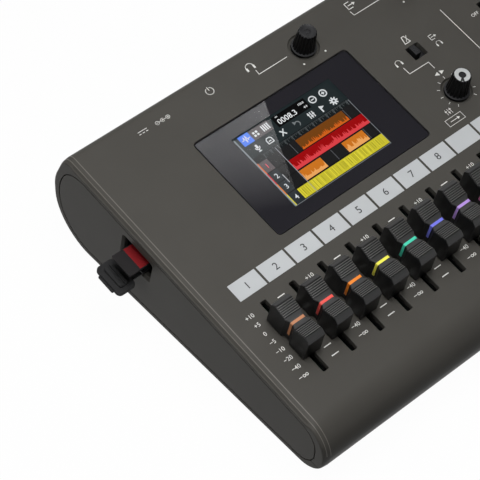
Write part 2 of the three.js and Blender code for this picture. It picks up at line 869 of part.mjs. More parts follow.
const cardInner = -endRim - card.out + card.length;
function socketShell() {
  const left = -endRim + capPlate + capFlange + gap;
  const top = -card.depth + card.thickness / 2 + cardSocket.lift;
  const housing = block(
    [left, card.v - cardSocket.width / 2, boardTop + gap],
    [left + cardSocket.length, card.v + cardSocket.width / 2, top],
  );
  const slot = block(
    [left - overrun, card.v - card.width / 2 - gap, -card.depth - card.thickness / 2 - gap],
    [cardInner + cardTravelIn + gap, card.v + card.width / 2 + gap, -card.depth + card.thickness / 2 + gap],
  );
  return cut(solid(housing), solid(slot));
}
piece(panel, "card_socket", socketShell(), metalLook);
const cardPlate = roundedPlate(
  card.length,
  card.width,
  card.thickness,
  -card.thickness / 2,
  card.thickness / 2,
);
piece(panel, "memory_card", solid(cardPlate), socketLook, [
  cardInner - card.length / 2,
  card.v,
  -card.depth,
]);

// The cover hangs open on a short strap. The strap bends at a round bead just outside the end cap.
const slotFloor = -slotCentre.depth - slotOpening.height / 2;
const strapMiddle = slotFloor + gap + coverStrap.thickness / 2;
const hingePlace = -endRim - coverStrap.face;
function coverPlate() {
  const plateIn = -coverStrap.reach;
  const low = -coverStrap.thickness / 2 - coverStrap.lift / 2;
  const plate = roundedPlate(cover.length, cover.width, cover.radius, low, low + cover.thickness, {
    u: plateIn - cover.length / 2,
    v: 0,
  });
  const plug = roundedPlate(
    cover.length - 2 * cover.plugMargin,
    cover.width - 2 * cover.plugMargin,
    cover.radius / 2,
    low + cover.thickness / 2,
    low + cover.thickness + cover.plug,
    { u: plateIn - cover.length / 2, v: 0 },
  );
  const strap = block(
    [plateIn - cover.radius, -coverStrap.width / 2, -coverStrap.thickness / 2],
    [0, coverStrap.width / 2, coverStrap.thickness / 2],
  );
  const bead = bar(
    coverStrap.thickness / 2,
    -coverStrap.width / 2,
    coverStrap.width / 2,
    roundSides / 2,
  ).rotateX(90 * degree);
  const tab = block(
    [plateIn - cover.length - coverTab.reach, -coverTab.width / 2, low],
    [plateIn - cover.length + cover.radius, coverTab.width / 2, low + coverTab.thickness],
  );
  return joined(solid(plate), solid(plug), solid(strap), solid(bead), solid(tab));
}
piece(panel, "card_slot_cover", coverPlate(), rubberLook, [hingePlace, slotCentre.v, strapMiddle]);
const anchor = block(
  [hingePlace + coverStrap.bead, -coverStrap.width / 2, -coverStrap.thickness / 2],
  [-endRim + capPlate + capFlange, coverStrap.width / 2, coverStrap.thickness / 2],
);
piece(panel, "cover_anchor", solid(anchor), rubberLook, [0, slotCentre.v, strapMiddle]);

// Sockets along the back

// A socket body behind the wall with a round bush through it and a hole down its middle.
function socket({ width, height, depth, bushRadius, proud, holeDepth }) {
  const front = -wall - gap;
  const housing = block([-width / 2, front - depth, -height / 2], [width / 2, front, height / 2]);
  const bush = bar(bushRadius, front - overrun, proud).rotateX(-90 * degree);
  const hole = bar(socketHole, proud - holeDepth, proud + overrun).rotateX(-90 * degree);
  return cut(joined(solid(housing), solid(bush)), solid(hole));
}
[
  ["phones_socket", phonesPlace],
  ["output_left_socket", outputPlaces[0]],
  ["output_right_socket", outputPlaces[1]],
].forEach(([name, x]) => {
  piece(back, name, socket(lineSocket), socketLook, [x, 0, 0]);
});

function inputSocket() {
  const pins = [-1, 0, 1].map((i) => {
    const angle = (90 + i * comboPin.spread) * degree;
    const { radius, depth } = comboPin;
    const hole = bar(radius, comboSocket.proud - depth, comboSocket.proud + overrun, pinSides);
    hole.rotateX(-90 * degree);
    hole.translate(comboPin.circle * Math.cos(angle), 0, comboPin.circle * Math.sin(angle));
    return solid(hole);
  });
  return cut(socket(comboSocket), ...pins);
}
inputPlaces.forEach((x, i) => {
  piece(back, `input_${i + 1}_socket`, inputSocket(), socketLook, [x, 0, 0]);
});

function inletSocket() {
  const { width, height, depth, lip, holeDepth } = powerInlet;
  const housing = block([-width / 2, -depth, -height / 2], [width / 2, 0, height / 2]);
  const hole = block(
    [-width / 2 + lip, -holeDepth, -height / 2 + lip],
    [width / 2 - lip, overrun, height / 2 - lip],
  );
  return cut(solid(housing), solid(hole));
}
piece(back, "power_inlet", inletSocket(), metalLook, [powerInlet.place, 0, 0]);

function rearSlider() {
  const { width, height, proud, foot, footReach } = rearSwitch;
  const inner = -wall - gap;
  const lever = block(
    [-width / 2, inner - foot / 2, -height / 2 + gap],
    [width / 2, proud, height / 2 - gap],
  );
  const plate = block(
    [-width / 2 - footReach, inner - foot, -height / 2 - footReach],
    [width / 2 + footReach, inner, height / 2 + footReach],
  );
  return joined(solid(lever), solid(plate));
}
const rearSwitchRest = (rearSwitch.window - rearSwitch.width) / 2 - gap;
piece(back, "power_switch", rearSlider(), knobLook, [rearSwitch.place - rearSwitchRest, 0, 0]);

// Cells and battery door

function cell() {
  const can = bar(cellRadius, 0, cellLength);
  const nub = bar(cellNubRadius, cellLength - overrun, cellLength + cellNub, roundSides / 2);
  return joined(solid(can), solid(nub));
}
const cellGeometry = geometryOf(cell());
const cellLevel = doorThickness + gap + cellRadius;
for (let i = 0; i < cellCount; i += 1) {
  const x = bayCentre + (i - (cellCount - 1) / 2) * cellSpread;
  const turned = i % 2 === 1;
  const y = turned ? bayBack - cellSpace : bayFront + cellSpace;
  const placed = piece(body, `cell_${i + 1}`, cellGeometry.clone(), cellLook, [x, y, cellLevel]);
  placed.rotation.x = (turned ? 90 : -90) * degree;
}

// The door turns on two pins at its front edge, so the corner below them is rounded off.
function batteryDoor() {
  const width = bayWidth - 2 * gap;
  const length = bayLength - 2 * gap;
  const reach = doorThickness / 2;
  const plate = block([-width / 2, 0, -reach], [width / 2, length - reach, reach]);
  const roll = bar(reach, -width / 2, width / 2, roundSides / 2).rotateY(90 * degree);
  const { width: gripWidth, length: gripLength, depth, setback } = doorGrip;
  const fingerGrip = block(
    [-gripWidth / 2, length - reach - setback - gripLength, -reach - overrun],
    [gripWidth / 2, length - reach - setback, -reach + depth],
  );
  return cut(joined(solid(plate), solid(roll)), solid(fingerGrip));
}
const doorHinge = [bayCentre, bayFront + gap + doorThickness / 2, doorThickness / 2];
piece(body, "battery_door", batteryDoor(), casePlastic, doorHinge);

// The origin is under the middle of the whole part, on the surface that its feet stand on.
body.updateMatrixWorld(true);
const extent = new THREE.Box3().setFromObject(body, true);
const middle = extent.getCenter(new THREE.Vector3());
body.position.set(-middle.x, -middle.y, -extent.min.z);

export default recorder;
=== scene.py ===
# %% [markdown]
# # A desktop multitrack recorder
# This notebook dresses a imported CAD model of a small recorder: a wedge-shaped case with ten faders, a
# colour screen, knobs, slide switches and transport keys. The CAD model gives every size and every moving
# body, and this notebook gives the finish. It starts by loading the model and reading how large it is.

import json
import math

import bmesh
import bpy
import numpy as np
from mathutils import Matrix, Vector


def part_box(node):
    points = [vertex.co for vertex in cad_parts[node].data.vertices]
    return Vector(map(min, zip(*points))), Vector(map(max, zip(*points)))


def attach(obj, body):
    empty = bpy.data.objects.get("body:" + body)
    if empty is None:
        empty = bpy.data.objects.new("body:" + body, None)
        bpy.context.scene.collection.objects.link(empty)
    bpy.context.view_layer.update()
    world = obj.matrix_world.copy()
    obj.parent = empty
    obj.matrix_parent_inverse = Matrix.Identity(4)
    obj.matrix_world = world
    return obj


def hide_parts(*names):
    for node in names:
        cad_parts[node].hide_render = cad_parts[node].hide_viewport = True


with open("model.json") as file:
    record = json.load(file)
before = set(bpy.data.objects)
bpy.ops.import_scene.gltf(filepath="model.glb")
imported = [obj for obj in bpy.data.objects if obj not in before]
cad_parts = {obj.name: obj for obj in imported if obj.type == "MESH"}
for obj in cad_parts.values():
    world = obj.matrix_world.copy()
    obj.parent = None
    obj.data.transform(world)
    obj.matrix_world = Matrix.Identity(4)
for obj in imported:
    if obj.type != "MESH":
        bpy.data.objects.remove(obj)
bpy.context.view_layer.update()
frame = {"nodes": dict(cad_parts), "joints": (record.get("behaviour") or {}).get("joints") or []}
nodes = frame["nodes"]
joints = {joint["name"]: joint for joint in frame["joints"]}

# %% [markdown]
# ## The panel has directions of its own
# The controls lie on a slope. It is easiest to place them as a maker would, in millimetres on the panel: u
# to the right, v up the slope and w straight out of the surface. The slope is the direction in which a
# fader slides, and the panel's corner is worked out from the pivot of the phones knob, so both follow the
# model.

# %% Directions and corner of the panel
MM = 0.001
PHONES_KNOB = (107.1, 124.8)  # u and v of the phones knob


def unit(vector):
    """A vector divided by its length."""
    return np.asarray(vector, float) / np.linalg.norm(vector)


ACROSS = np.array([1.0, 0.0, 0.0])
UPHILL = unit(joints["fader_1_slide"]["axis"])
OUTWARD = np.cross(ACROSS, UPHILL)
PANEL = np.stack([ACROSS, UPHILL, OUTWARD])
CORNER = np.array(joints["phones_knob_turn"]["pos_m"]) - MM * (PHONES_KNOB @ PANEL[:2])


def on_panel(points):
    """Row-frame metres of panel millimetres: corner + u * across + v * uphill + w * outward."""
    return CORNER + MM * (np.asarray(points, float) @ PANEL)


def panel_place(node):
    """Panel millimetres of the middle of a CAD node's box: the sums above, solved backwards."""
    low, high = (np.array(corner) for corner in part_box(node))
    return PANEL @ ((low + high) / 2 - CORNER) / MM


print("panel corner", CORNER.round(5), "slope", round(math.degrees(math.asin(UPHILL[2])), 2), "degrees")

# %% [markdown]
# ## The case has directions too
# The shells are drawn from the side, as a section carried along x. Here x starts at the left bead line, y
# at the front-most point and z at the underside, above which the feet hold the case.

# %% Corner of the case
NOSE_DEPTH = 11.3  # front-most point to the front end of the flat panel
FRONT_HEIGHT = 26.0  # underside to the front end of the flat panel
CASE_CORNER = CORNER - MM * np.array([0.0, NOSE_DEPTH, FRONT_HEIGHT])


def in_case(points):
    """Row-frame metres of case millimetres: a shift, because both frames have the same directions."""
    return CASE_CORNER + MM * np.asarray(points, float)


# %% [markdown]
# ## Camera first
# The camera was solved from straight lines and known distances on the object: its place on the panel's axes
# in millimetres, and the three directions of its picture. A long lens from three quarters of a metre away
# gives the mild perspective of a product picture.

# %% Camera
CAMERA_PLACE = (-293.757, -178.292, 631.61)
CAMERA_RIGHT = (0.75296, -0.64548, 0.12809)
CAMERA_DOWN = (-0.50014, -0.68781, -0.52609)
CAMERA_FORWARD = (0.42769, 0.33206, -0.84073)
FOCAL_PIXELS = 2025.46  # at a picture width of PICTURE pixels
PICTURE = 480
SENSOR = 36.0


def in_row(direction):
    """A direction on the panel's axes as a unit direction in the row frame."""
    return unit(np.asarray(direction) @ PANEL)


def stand(name, data, axes, at):
    """An object at a place in the row frame, with its x, y and z axes along three unit directions."""
    made = bpy.data.objects.new(name, data)
    bpy.context.scene.collection.objects.link(made)
    matrix = np.eye(4)
    matrix[:3, :3] = np.stack(axes, axis=1)
    matrix[:3, 3] = at
    made.matrix_world = Matrix(matrix.tolist())
    return made


camera_data = bpy.data.cameras.new("camera")
camera_data.sensor_width = SENSOR
camera_data.lens = SENSOR * FOCAL_PIXELS / PICTURE
camera_axes = (in_row(CAMERA_RIGHT), -in_row(CAMERA_DOWN), -in_row(CAMERA_FORWARD))
bpy.context.scene.camera = stand("camera", camera_data, camera_axes, on_panel(CAMERA_PLACE))
print("lens", round(camera_data.lens, 1), "mm, camera at", on_panel(CAMERA_PLACE).round(3))

# %% [markdown]
# ## Light, floor and sky
# The recorder stands in a plain studio under a dim, even grey sky. The main lamp hangs above, so the sides
# are darker than the panel, a weaker one shows the left end, and a large one far away fills the shadows. A
# softbox stands where the screen mirrors it to the camera. Together they give about as much light as makes
# a colour render as it is written. The floor and a ring wall far behind glow only for the camera, mirrors
# and clear pieces.

# %% Node helpers
def tree_of(holder):
    """The node tree of a material or world, emptied."""
    holder.use_nodes = True
    holder.node_tree.nodes.clear()
    return holder.node_tree


def add(tree, kind, inputs=None, **settings):
    """A node with its settings; an input takes a number or colour, or another node's output to link."""
    made = tree.nodes.new(kind)
    for name, value in settings.items():
        setattr(made, name, value)
    for name, value in (inputs or {}).items():
        if isinstance(value, bpy.types.NodeSocket):
            tree.links.new(value, made.inputs[name])
        else:
            made.inputs[name].default_value = value
    return made


def ramp(tree, value, stops):
    """A colour ramp over a value, from (place, colour) stops."""
    made = add(tree, "ShaderNodeValToRGB", {"Fac": value})
    elements = made.color_ramp.elements
    while len(elements) < len(stops):
        elements.new(1.0)
    for element, (place, colour) in zip(elements, stops):
        element.position = place
        element.color = colour
    return made.outputs["Color"]


def linear(red, green, blue):
    """A screen colour in 0 to 255 as linear light, with alpha: ((c + 0.055) / 1.055) ** 2.4."""
    shares = np.array([red, green, blue]) / 255
    light = np.where(shares <= 0.04045, shares / 12.92, ((shares + 0.055) / 1.055) ** 2.4)
    return (*light.tolist(), 1.0)


def maths(tree, operation, first, second):
    """The result of a sum on two values, each a number or another node's output."""
    return add(tree, "ShaderNodeMath", {0: first, 1: second}, operation=operation).outputs[0]


print("node helpers ready")

# %% Sky
SKY = (0.08, 0.08, 0.08, 1.0)  # the same in every direction

sky = bpy.data.worlds.new("studio")
bpy.context.scene.world = sky
sky_tree = tree_of(sky)
sky_light = add(sky_tree, "ShaderNodeBackground", {"Color": SKY, "Strength": 1.0})
add(sky_tree, "ShaderNodeOutputWorld", {"Surface": sky_light.outputs["Background"]})
print("sky of brightness", SKY[0])

# %% Lamps
LAMPS = {
    # name: place and aim in row-frame metres, size in metres, power in watts
    "key": ((-0.10, -0.05, 0.44), (-0.09, -0.02, 0.03), 0.28, 1.43),
    "edge": ((-0.55, 0.02, 0.32), (-0.12, 0.0, 0.03), 0.2, 0.48),
    "fill": ((1.0, 0.6, 0.7), (0.0, 0.0, 0.03), 0.8, 1.2),
}


def lamp(name, place, aim, size, power):
    """A square area lamp at a place, with its -Z axis towards its aim."""
    data = bpy.data.lights.new(name, "AREA")
    data.size = size
    data.energy = power
    back = unit(np.subtract(place, aim))
    side = unit(np.cross((0.0, 0.0, 1.0), back))
    return stand(name, data, (side, np.cross(back, side), back), place)


for lamp_name, values in LAMPS.items():
    lamp(lamp_name, *values)
bpy.context.scene.view_settings.view_transform = "Standard"
print("lamps", list(LAMPS))

# %% Softbox over the screen
SOFTBOX_LEVEL = 1200.0  # millimetres out of the panel
SOFTBOX_EDGE = ((77.24, 114.4), (59.72, 75.29))  # where its straight edge is mirrored in the glass
SOFTBOX_SIZE = (600.0, 620.0)
SOFTBOX_REACH = 0.42  # share of its length from the lower mirrored point to its middle
SOFTBOX_FADE = (0.92, 0.95)  # where its light ends, as shares of its length
SOFTBOX_POWER = 4.2


def mirrored(point):
    """The softbox point seen in the glass at a point: on the line to it from the camera's mirror image."""
    image = np.array(CAMERA_PLACE) * (1, 1, -1)
    toward = np.append(point, 0.0) - image
    return image + toward * (SOFTBOX_LEVEL - image[2]) / toward[2]


edge_high, edge_low = (mirrored(point) for point in SOFTBOX_EDGE)
along = unit(edge_high - edge_low)
sideways = np.array([-along[1], along[0], 0.0])
wide, long = SOFTBOX_SIZE
softbox_middle = edge_low + sideways * wide / 2 + along * long * SOFTBOX_REACH
softbox_data = bpy.data.lights.new("softbox", "AREA")
softbox_data.shape = "RECTANGLE"
softbox_data.size = wide * MM
softbox_data.size_y = long * MM
softbox_data.energy = SOFTBOX_POWER
softbox_tree = tree_of(softbox_data)
over = add(softbox_tree, "ShaderNodeNewGeometry").outputs["Parametric"]
down = add(softbox_tree, "ShaderNodeSeparateXYZ", {"Vector": over}).outputs["Y"]
reach = np.linalg.norm(edge_high - edge_low) / long
fade = add(softbox_tree, "ShaderNodeMapRange", {
    "Value": down, "From Min": SOFTBOX_FADE[0] - reach, "From Max": SOFTBOX_FADE[1],
    "To Min": 1.0, "To Max": 0.0,
})
glow = add(softbox_tree, "ShaderNodeEmission", {"Strength": fade.outputs["Result"]})
add(softbox_tree, "ShaderNodeOutputLight", {"Surface": glow.outputs["Emission"]})
softbox_axes = (in_row(sideways), in_row(-along), in_row((0, 0, 1)))
stand("softbox", softbox_data, softbox_axes, on_panel(softbox_middle))
print("softbox over", softbox_middle.round(0), "mm on the panel's axes")

# %% Floor
FLOOR_SIDE = 6.0
FLOOR_LIFT = 0.85  # share of glow in what the camera, mirrors and clear pieces see
FLOOR_GREY, FLOOR_GLOW = 0.12, 1.15

floor_material = bpy.data.materials.new("floor")
floor_tree = tree_of(floor_material)
rays = add(floor_tree, "ShaderNodeLightPath").outputs
seen = maths(floor_tree, "MAXIMUM", rays["Is Camera Ray"], rays["Is Glossy Ray"])
seen = maths(floor_tree, "MAXIMUM", seen, rays["Is Transmission Ray"])
lift = maths(floor_tree, "MULTIPLY", seen, FLOOR_LIFT)
paper = add(floor_tree, "ShaderNodeBsdfDiffuse", {"Color": (FLOOR_GREY, FLOOR_GREY, FLOOR_GREY, 1.0)})
white = add(floor_tree, "ShaderNodeEmission", {"Color": (1.0, 1.0, 1.0, 1.0), "Strength": FLOOR_GLOW})
mixed = add(floor_tree, "ShaderNodeMixShader", {0: lift, 1: paper.outputs[0], 2: white.outputs[0]})
add(floor_tree, "ShaderNodeOutputMaterial", {"Surface": mixed.outputs[0]})
print("floor", FLOOR_SIDE, "m")

# %% [markdown]
# ## Surfaces from arrays
# Almost every new piece is a grid: rings of points, joined ring to ring into four-sided faces. One helper
# turns such an array into a mesh, and closes its first and last ring with a face when the piece is a solid.
# Sharp folds stay crisp and gentle ones are shaded smooth, with the large faces setting the direction of
# the light.

# %% Mesh helpers
SMOOTH_BELOW = math.radians(34)  # folds gentler than this are shaded smooth


def spokes(angles):
    """Unit vectors of angles in radians: (cos, sin)."""
    return np.stack([np.cos(angles), np.sin(angles)], axis=-1)


def round_about(sides):
    """Angles in equal steps once round, the last one step short of the first."""
    return np.linspace(0, 2 * np.pi, sides, endpoint=False)


def lifted(flat, heights):
    """Rings of flat points, each ring raised to its own height: (x, y) becomes (x, y, height of the ring)."""
    heights = np.broadcast_to(np.asarray(heights, float)[:, None, None], (*flat.shape[:2], 1))
    return np.concatenate([flat, heights], axis=-1)


def piece_from(name, points, faces, material=None):
    """A mesh object from row-frame points and faces, its faces turned outwards and its doubles merged."""
    mesh = bpy.data.meshes.new(name)
    mesh.from_pydata(np.asarray(points, float).reshape(-1, 3).tolist(), [], faces)
    work = bmesh.new()
    work.from_mesh(mesh)
    bmesh.ops.remove_doubles(work, verts=work.verts, dist=1e-7)
    bmesh.ops.recalc_face_normals(work, faces=work.faces)
    work.to_mesh(mesh)
    work.free()
    made = bpy.data.objects.new(name, mesh)
    bpy.context.scene.collection.objects.link(made)
    if material is not None:
        mesh.materials.append(material)
    return made


def grid_faces(rings, count, ends="cap", first=0):
    """Four-sided faces between neighbouring rings: (i, j), (i, j + 1), (i + 1, j + 1), (i + 1, j).

    The first and last ring are capped with a face, joined to each other, or left open.
    """
    last = rings if ends == "join" else rings - 1
    i, j = np.meshgrid(np.arange(last), np.arange(count), indexing="ij")
    onward, below = (j + 1) % count, (i + 1) % rings
    quads = np.stack([i * count + j, i * count + onward, below * count + onward, below * count + j], -1)
    faces = (quads.reshape(-1, 4) + first).tolist()
    if ends == "cap":
        ring = np.arange(count) + first
        faces += [ring[::-1].tolist(), (ring + (rings - 1) * count).tolist()]
    return faces


def several(name, lofts, material=None, ends="cap"):
    """One mesh of many lofts, each an array of rings in row-frame metres: (rings, points in a ring, 3)."""
    points, faces, first = [], [], 0
    for rings in lofts:
        rings = np.asarray(rings, float)
        points.append(rings.reshape(-1, 3))
        faces += grid_faces(rings.shape[0], rings.shape[1], ends, first)
        first += len(points[-1])
    return piece_from(name, np.concatenate(points), faces, material)


def loft(name, rings, material=None, ends="cap"):
    """A piece from a single array of rings."""
    return several(name, [rings], material, ends)


def shade(made, angle=SMOOTH_BELOW):
    """Smooth shading below a fold angle, with directions weighted by face area."""
    for polygon in made.data.polygons:
        polygon.use_smooth = True
    made.data.set_sharp_from_angle(angle=angle)
    weighted = made.modifiers.new("directions", "WEIGHTED_NORMAL")
    weighted.keep_sharp = True
    return made


def coat(made, *looks):
    """Gives a piece its materials afresh, which a carved piece needs."""
    made.data.materials.clear()
    for look in looks:
        made.data.materials.append(look)
    return made


def dress(made, body, slot, *replaced):
    """Gives a finished piece its body and hides the CAD nodes that it stands for; the slot is not used."""
    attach(made, body)
    if replaced:
        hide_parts(*replaced)
    return made


print("mesh helpers ready")

# %% Floor piece
half = FLOOR_SIDE / 2
floor = piece_from("floor", [(-half, -half, 0), (half, -half, 0), (half, half, 0), (-half, half, 0)],
                   [[0, 1, 2, 3]], floor_material)
print("floor laid")

# %% Backdrop
BACKDROP_RADIUS, BACKDROP_HEIGHT, BACKDROP_SIDES = 2.9, 1.3, 48

foot = BACKDROP_RADIUS * spokes(round_about(BACKDROP_SIDES))
wall = lifted(np.stack([foot, foot]), (0.0, BACKDROP_HEIGHT))
backdrop = piece_from("backdrop", wall, grid_faces(2, BACKDROP_SIDES, "open"), floor_material)
print("backdrop", 2 * BACKDROP_RADIUS, "m across")

# %% [markdown]
# ## The case's plastic
# The case is moulded in a warm dark grey with a fine spark-eroded grain: matte, but with a soft shine where
# an edge turns. The grain is a bump with cells of a third of a millimetre, far finer than the faint clouding
# of the colour, and the roughness wanders a little, as it does where a mould has worn. Numbers that are the
# same everywhere are set on the shader itself.

# %% Moulded plastics
def material_of(name):
    """A new material, its emptied node tree, and the coordinates that its textures follow."""
    material = bpy.data.materials.new(name)
    tree = tree_of(material)
    return material, tree, add(tree, "ShaderNodeTexCoord").outputs["Object"]


def clouds(tree, place, scale, detail):
    """The value of a noise with so many cells to the metre."""
    return add(tree, "ShaderNodeTexNoise", {"Vector": place, "Scale": scale, "Detail": detail}).outputs["Fac"]


def clouded(tree, value, colour, low, high):
    """A colour times a share that goes from low to high as a value goes from 0.3 to 0.7."""
    dark, light = (linear(*(np.array(colour) * share)) for share in (low, high))
    return ramp(tree, value, [(0.3, dark), (0.7, light)])


def about(tree, value, middle, spread):
    """A value from 0 to 1 as a number within a spread of a middle."""
    ends = {"Value": value, "To Min": middle - spread, "To Max": middle + spread}
    return add(tree, "ShaderNodeMapRange", ends).outputs["Result"]


def principled(tree, **inputs):
    """A principled shader; an input's name is written with underscores."""
    spaced = {name.replace("_", " "): value for name, value in inputs.items()}
    return add(tree, "ShaderNodeBsdfPrincipled", spaced)


def shown(tree, shader):
    """Makes a shader the material's surface."""
    add(tree, "ShaderNodeOutputMaterial", {"Surface": shader.outputs[0]})


def grained_plastic(name, colour, roughness, grain=0.35, depth=0.03, clouding=0.05, specular=0.4):
    """Moulded plastic: colour times a slow noise, and a bump from a fine noise with cells of grain mm."""
    material, tree, place = material_of(name)
    tone = clouded(tree, clouds(tree, place, 60.0, 3.0), colour, 1 - clouding, 1 + clouding)
    fine = clouds(tree, place, 1 / (grain * MM), 2.0)
    bump = add(tree, "ShaderNodeBump", {"Height": fine, "Strength": 0.5, "Distance": depth * MM})
    shown(tree, principled(tree, Base_Color=tone, Roughness=about(tree, fine, roughness, 0.05),
                           Normal=bump.outputs["Normal"], Specular_IOR_Level=specular))
    return material


case_plastic = grained_plastic("case_plastic", (79, 77, 73), 0.36, clouding=0.015, specular=0.05)
# painted highlight: the bead's two edge lines get this lighter grey, which stands in for light shining on
# them; their stronger gloss is real
highlight_plastic = grained_plastic("highlight_plastic", (108, 104, 98), 0.4, clouding=0.015, specular=0.3)
print("made", case_plastic.name, highlight_plastic.name)

# %% [markdown]
# ## The outline of the case
# Seen from the side the case is five straight edges with rounded corners: a nose at the front, a heel at
# the back. Every corner is an arc about a fixed centre, so a copy of the outline moved inwards by some
# distance is the same list of points, each moved along its own normal. One array of points and one of
# normals therefore give the outer skin, its stepped rim and the wall inside.

# %% Outline of the case section
CASE_DEPTH = 155.2
PANEL_SLOPE = math.degrees(math.asin(UPHILL[2]))
BACK_LEAN = 23.0
BACK_KNEE = 29.3  # height at which the back starts to lean
ARC_POINTS = 13  # points in each of the outline's five arcs
CASE_RADII = (12.5, 22.0, 33.0, 4.0, 13.2)  # lower nose, heel, knee, back edge, upper nose
CAP_INSETS = (2.5, 3.0, 3.4, 3.0, 5.0)  # bottom, back, lean, panel and front edge of the end opening
CAP_RADII = (9.0, 19.0, 26.0, 13.0, 9.0)


def section(insets, radii):
    """Points and outward normals of the outline: each edge moved in, then an arc at each crossing."""
    edges = ((0.0, 0.0, 0.0), (CASE_DEPTH, 0.0, 90.0), (CASE_DEPTH, BACK_KNEE, 90.0 + BACK_LEAN),
             (NOSE_DEPTH, FRONT_HEIGHT, 180.0 + PANEL_SLOPE), (0.0, 0.0, 270.0))
    at, along, angles = [], [], []
    for (y, z, angle), inset in zip(edges, insets):
        heading = math.radians(angle)
        along.append((math.cos(heading), math.sin(heading)))
        at.append((y - inset * math.sin(heading), z + inset * math.cos(heading)))
        angles.append(angle)
    points, normals = [], []
    for i, radius in enumerate(radii):
        before, here = np.array(along[i - 1]), np.array(along[i])
        across = np.subtract(at[i], at[i - 1])
        reach = (across[0] * here[1] - across[1] * here[0]) / (before[0] * here[1] - before[1] * here[0])
        corner = np.array(at[i - 1]) + reach * before
        turn = (angles[i] - angles[i - 1]) % 360
        back = radius * math.tan(math.radians(turn) / 2)
        centre = corner - back * before + radius * np.array([-before[1], before[0]])
        outwards = spokes(np.radians(angles[i - 1] - 90 + turn * np.linspace(0, 1, ARC_POINTS)))
        points.append(centre + radius * outwards)
        normals.append(outwards)
    return np.concatenate(points), np.concatenate(normals)


OUTLINE, OUTLINE_NORMALS = section((0.0,) * 5, CASE_RADII)
print("outline of", len(OUTLINE), "points, height", OUTLINE[:, 1].max().round(2), "mm")

# %% [markdown]
# ## A skin swept across the case
# The outer skin is that outline carried along x, and a function of two numbers says how far each point is
# moved inwards. Along the panel the ends step down: a narrow bevel, then a steep side, then the rim of the
# end face. That bead fades out round the back edge and the nose, where a plain rounded edge takes over. On
# its way to the end face the outline also swells a little, to an end outline with a rounder corner at the
# back.

# %% Outer skin
PANEL_WIDTH = 250.0
END_RIM = 3.0
WALL = 2.5
END_OUTLINE = section((0.0, 0.0, 0.0, 0.0, 0.5), (12.0, 21.0, 24.0, 7.0, 12.5))[0]
SWELL_FROM = -0.6  # x at which the outline starts to turn into the end outline


def quarter(start, end, steps, centre, radius):
    """Points of an arc from one angle to another in degrees: centre + radius * (cos, sin)."""
    return np.asarray(centre) + radius * spokes(np.radians(np.linspace(start, end, steps)))


def rounded_path(corners, steps=4):
    """A path of straight runs: each corner (x, inset, cut) becomes a parabola between its two cuts."""
    points = [corners[0][:2]]
    for before, (x, inset, cut), after in zip(corners, corners[1:], corners[2:]):
        corner = np.array((x, inset))
        ends = [corner + cut * unit(np.array(to[:2]) - corner) for to in (before, after)]
        share = np.linspace(0, 1, steps)[:, None]
        points += list((1 - share) ** 2 * ends[0] + 2 * share * (1 - share) * corner + share ** 2 * ends[1])
    return np.array(points + [corners[-1][:2]])


BEAD = rounded_path([(-3.0, 2.6, 0), (-3.0, 1.75, 0.4), (-2.35, 1.45, 0.15), (-1.45, 0.35, 0.3),
                     (0.2, 0.0, 0.5), (1.5, 0.0, 0)])
HIGHLIGHT_LINES = ((0.2, 0.3), (-1.45, 0.2))  # x and half width of the bead's two lines, which get a painted highlight
PLAIN = rounded_path([(-3.0, 2.6, 0), (-3.0, 0.0, 1.0), (1.5, 0.0, 0)], 7)
in_arcs = np.zeros((5, ARC_POINTS))  # how far the bead shows at each point of the outline's five arcs
in_arcs[3] = np.linspace(0, 1, ARC_POINTS) ** 2
in_arcs[4] = np.clip(np.linspace(1, -4, ARC_POINTS), 0, 1)
BEAD_SHARE = in_arcs.ravel()


def swept(stations):
    """Rings (x, point): outline and end outline mixed by x, less the inset along the outline's normal.

    The inset is the bead's at x times the bead's share at the point, plus the plain edge's times the rest.
    """
    swell = np.clip((SWELL_FROM - stations) / (END_RIM + SWELL_FROM - 0.6), 0, 1)[:, None, None]
    bead = np.interp(stations, BEAD[:, 0], BEAD[:, 1])
    plain = np.interp(stations, PLAIN[:, 0], PLAIN[:, 1])
    inset = bead[:, None] * BEAD_SHARE + plain[:, None] * (1 - BEAD_SHARE)
    ring = (1 - swell) * OUTLINE + swell * END_OUTLINE - inset[..., None] * OUTLINE_NORMALS
    return lifted(ring, stations)[..., [2, 0, 1]]


left_stations = np.unique(np.concatenate([BEAD[1:, 0], PLAIN[1:, 0]]).round(3))
left_rings = swept(left_stations)
right_rings = left_rings[::-1] * (-1, 1, 1) + (PANEL_WIDTH, 0, 0)
skin_rings = np.concatenate([left_rings, right_rings])
print("skin of", skin_rings.shape[0], "rings")

# %% [markdown]
# ## Cutting holes with a rounded lip
# Every opening in a moulded case has a slightly rounded lip, which catches the light. Instead of bevelling
# the cut afterwards, the cutter itself is made with a flare: it widens along a quarter circle just under
# the surface. A boolean with the manifold solver then leaves a clean lip. Cutters that don't touch each
# other are joined and cut in one go.

# %% Cutters
LIP = 0.3
PAST = 1.0  # how far a cutter passes the surface


def lip_levels(depth, lip=LIP, steps=4):
    """Pairs (outset, level) of a cutter's wall: straight up from its depth, a quarter circle, then beyond."""
    arc = quarter(180, 90, steps, (lip, -lip), lip)
    return np.concatenate([[(0.0, -depth)], arc, [(lip + PAST / 4, PAST)]])


def rounded_box(width, length, radius, steps=6):
    """Points and normals of a rectangle with rounded corners, anticlockwise about the origin."""
    corners = ((1, 1, 0), (-1, 1, 90), (-1, -1, 180), (1, -1, 270))
    points, normals = [], []
    for side, end, start in corners:
        outwards = spokes(np.radians(start + np.linspace(0, 90, steps)))
        points.append((side * (width / 2 - radius), end * (length / 2 - radius)) + radius * outwards)
        normals.append(outwards)
    return np.concatenate(points), np.concatenate(normals)


def circle(radius, sides=48):
    """Points and normals of a circle, anticlockwise about the origin."""
    outwards = spokes(round_about(sides))
    return radius * outwards, outwards


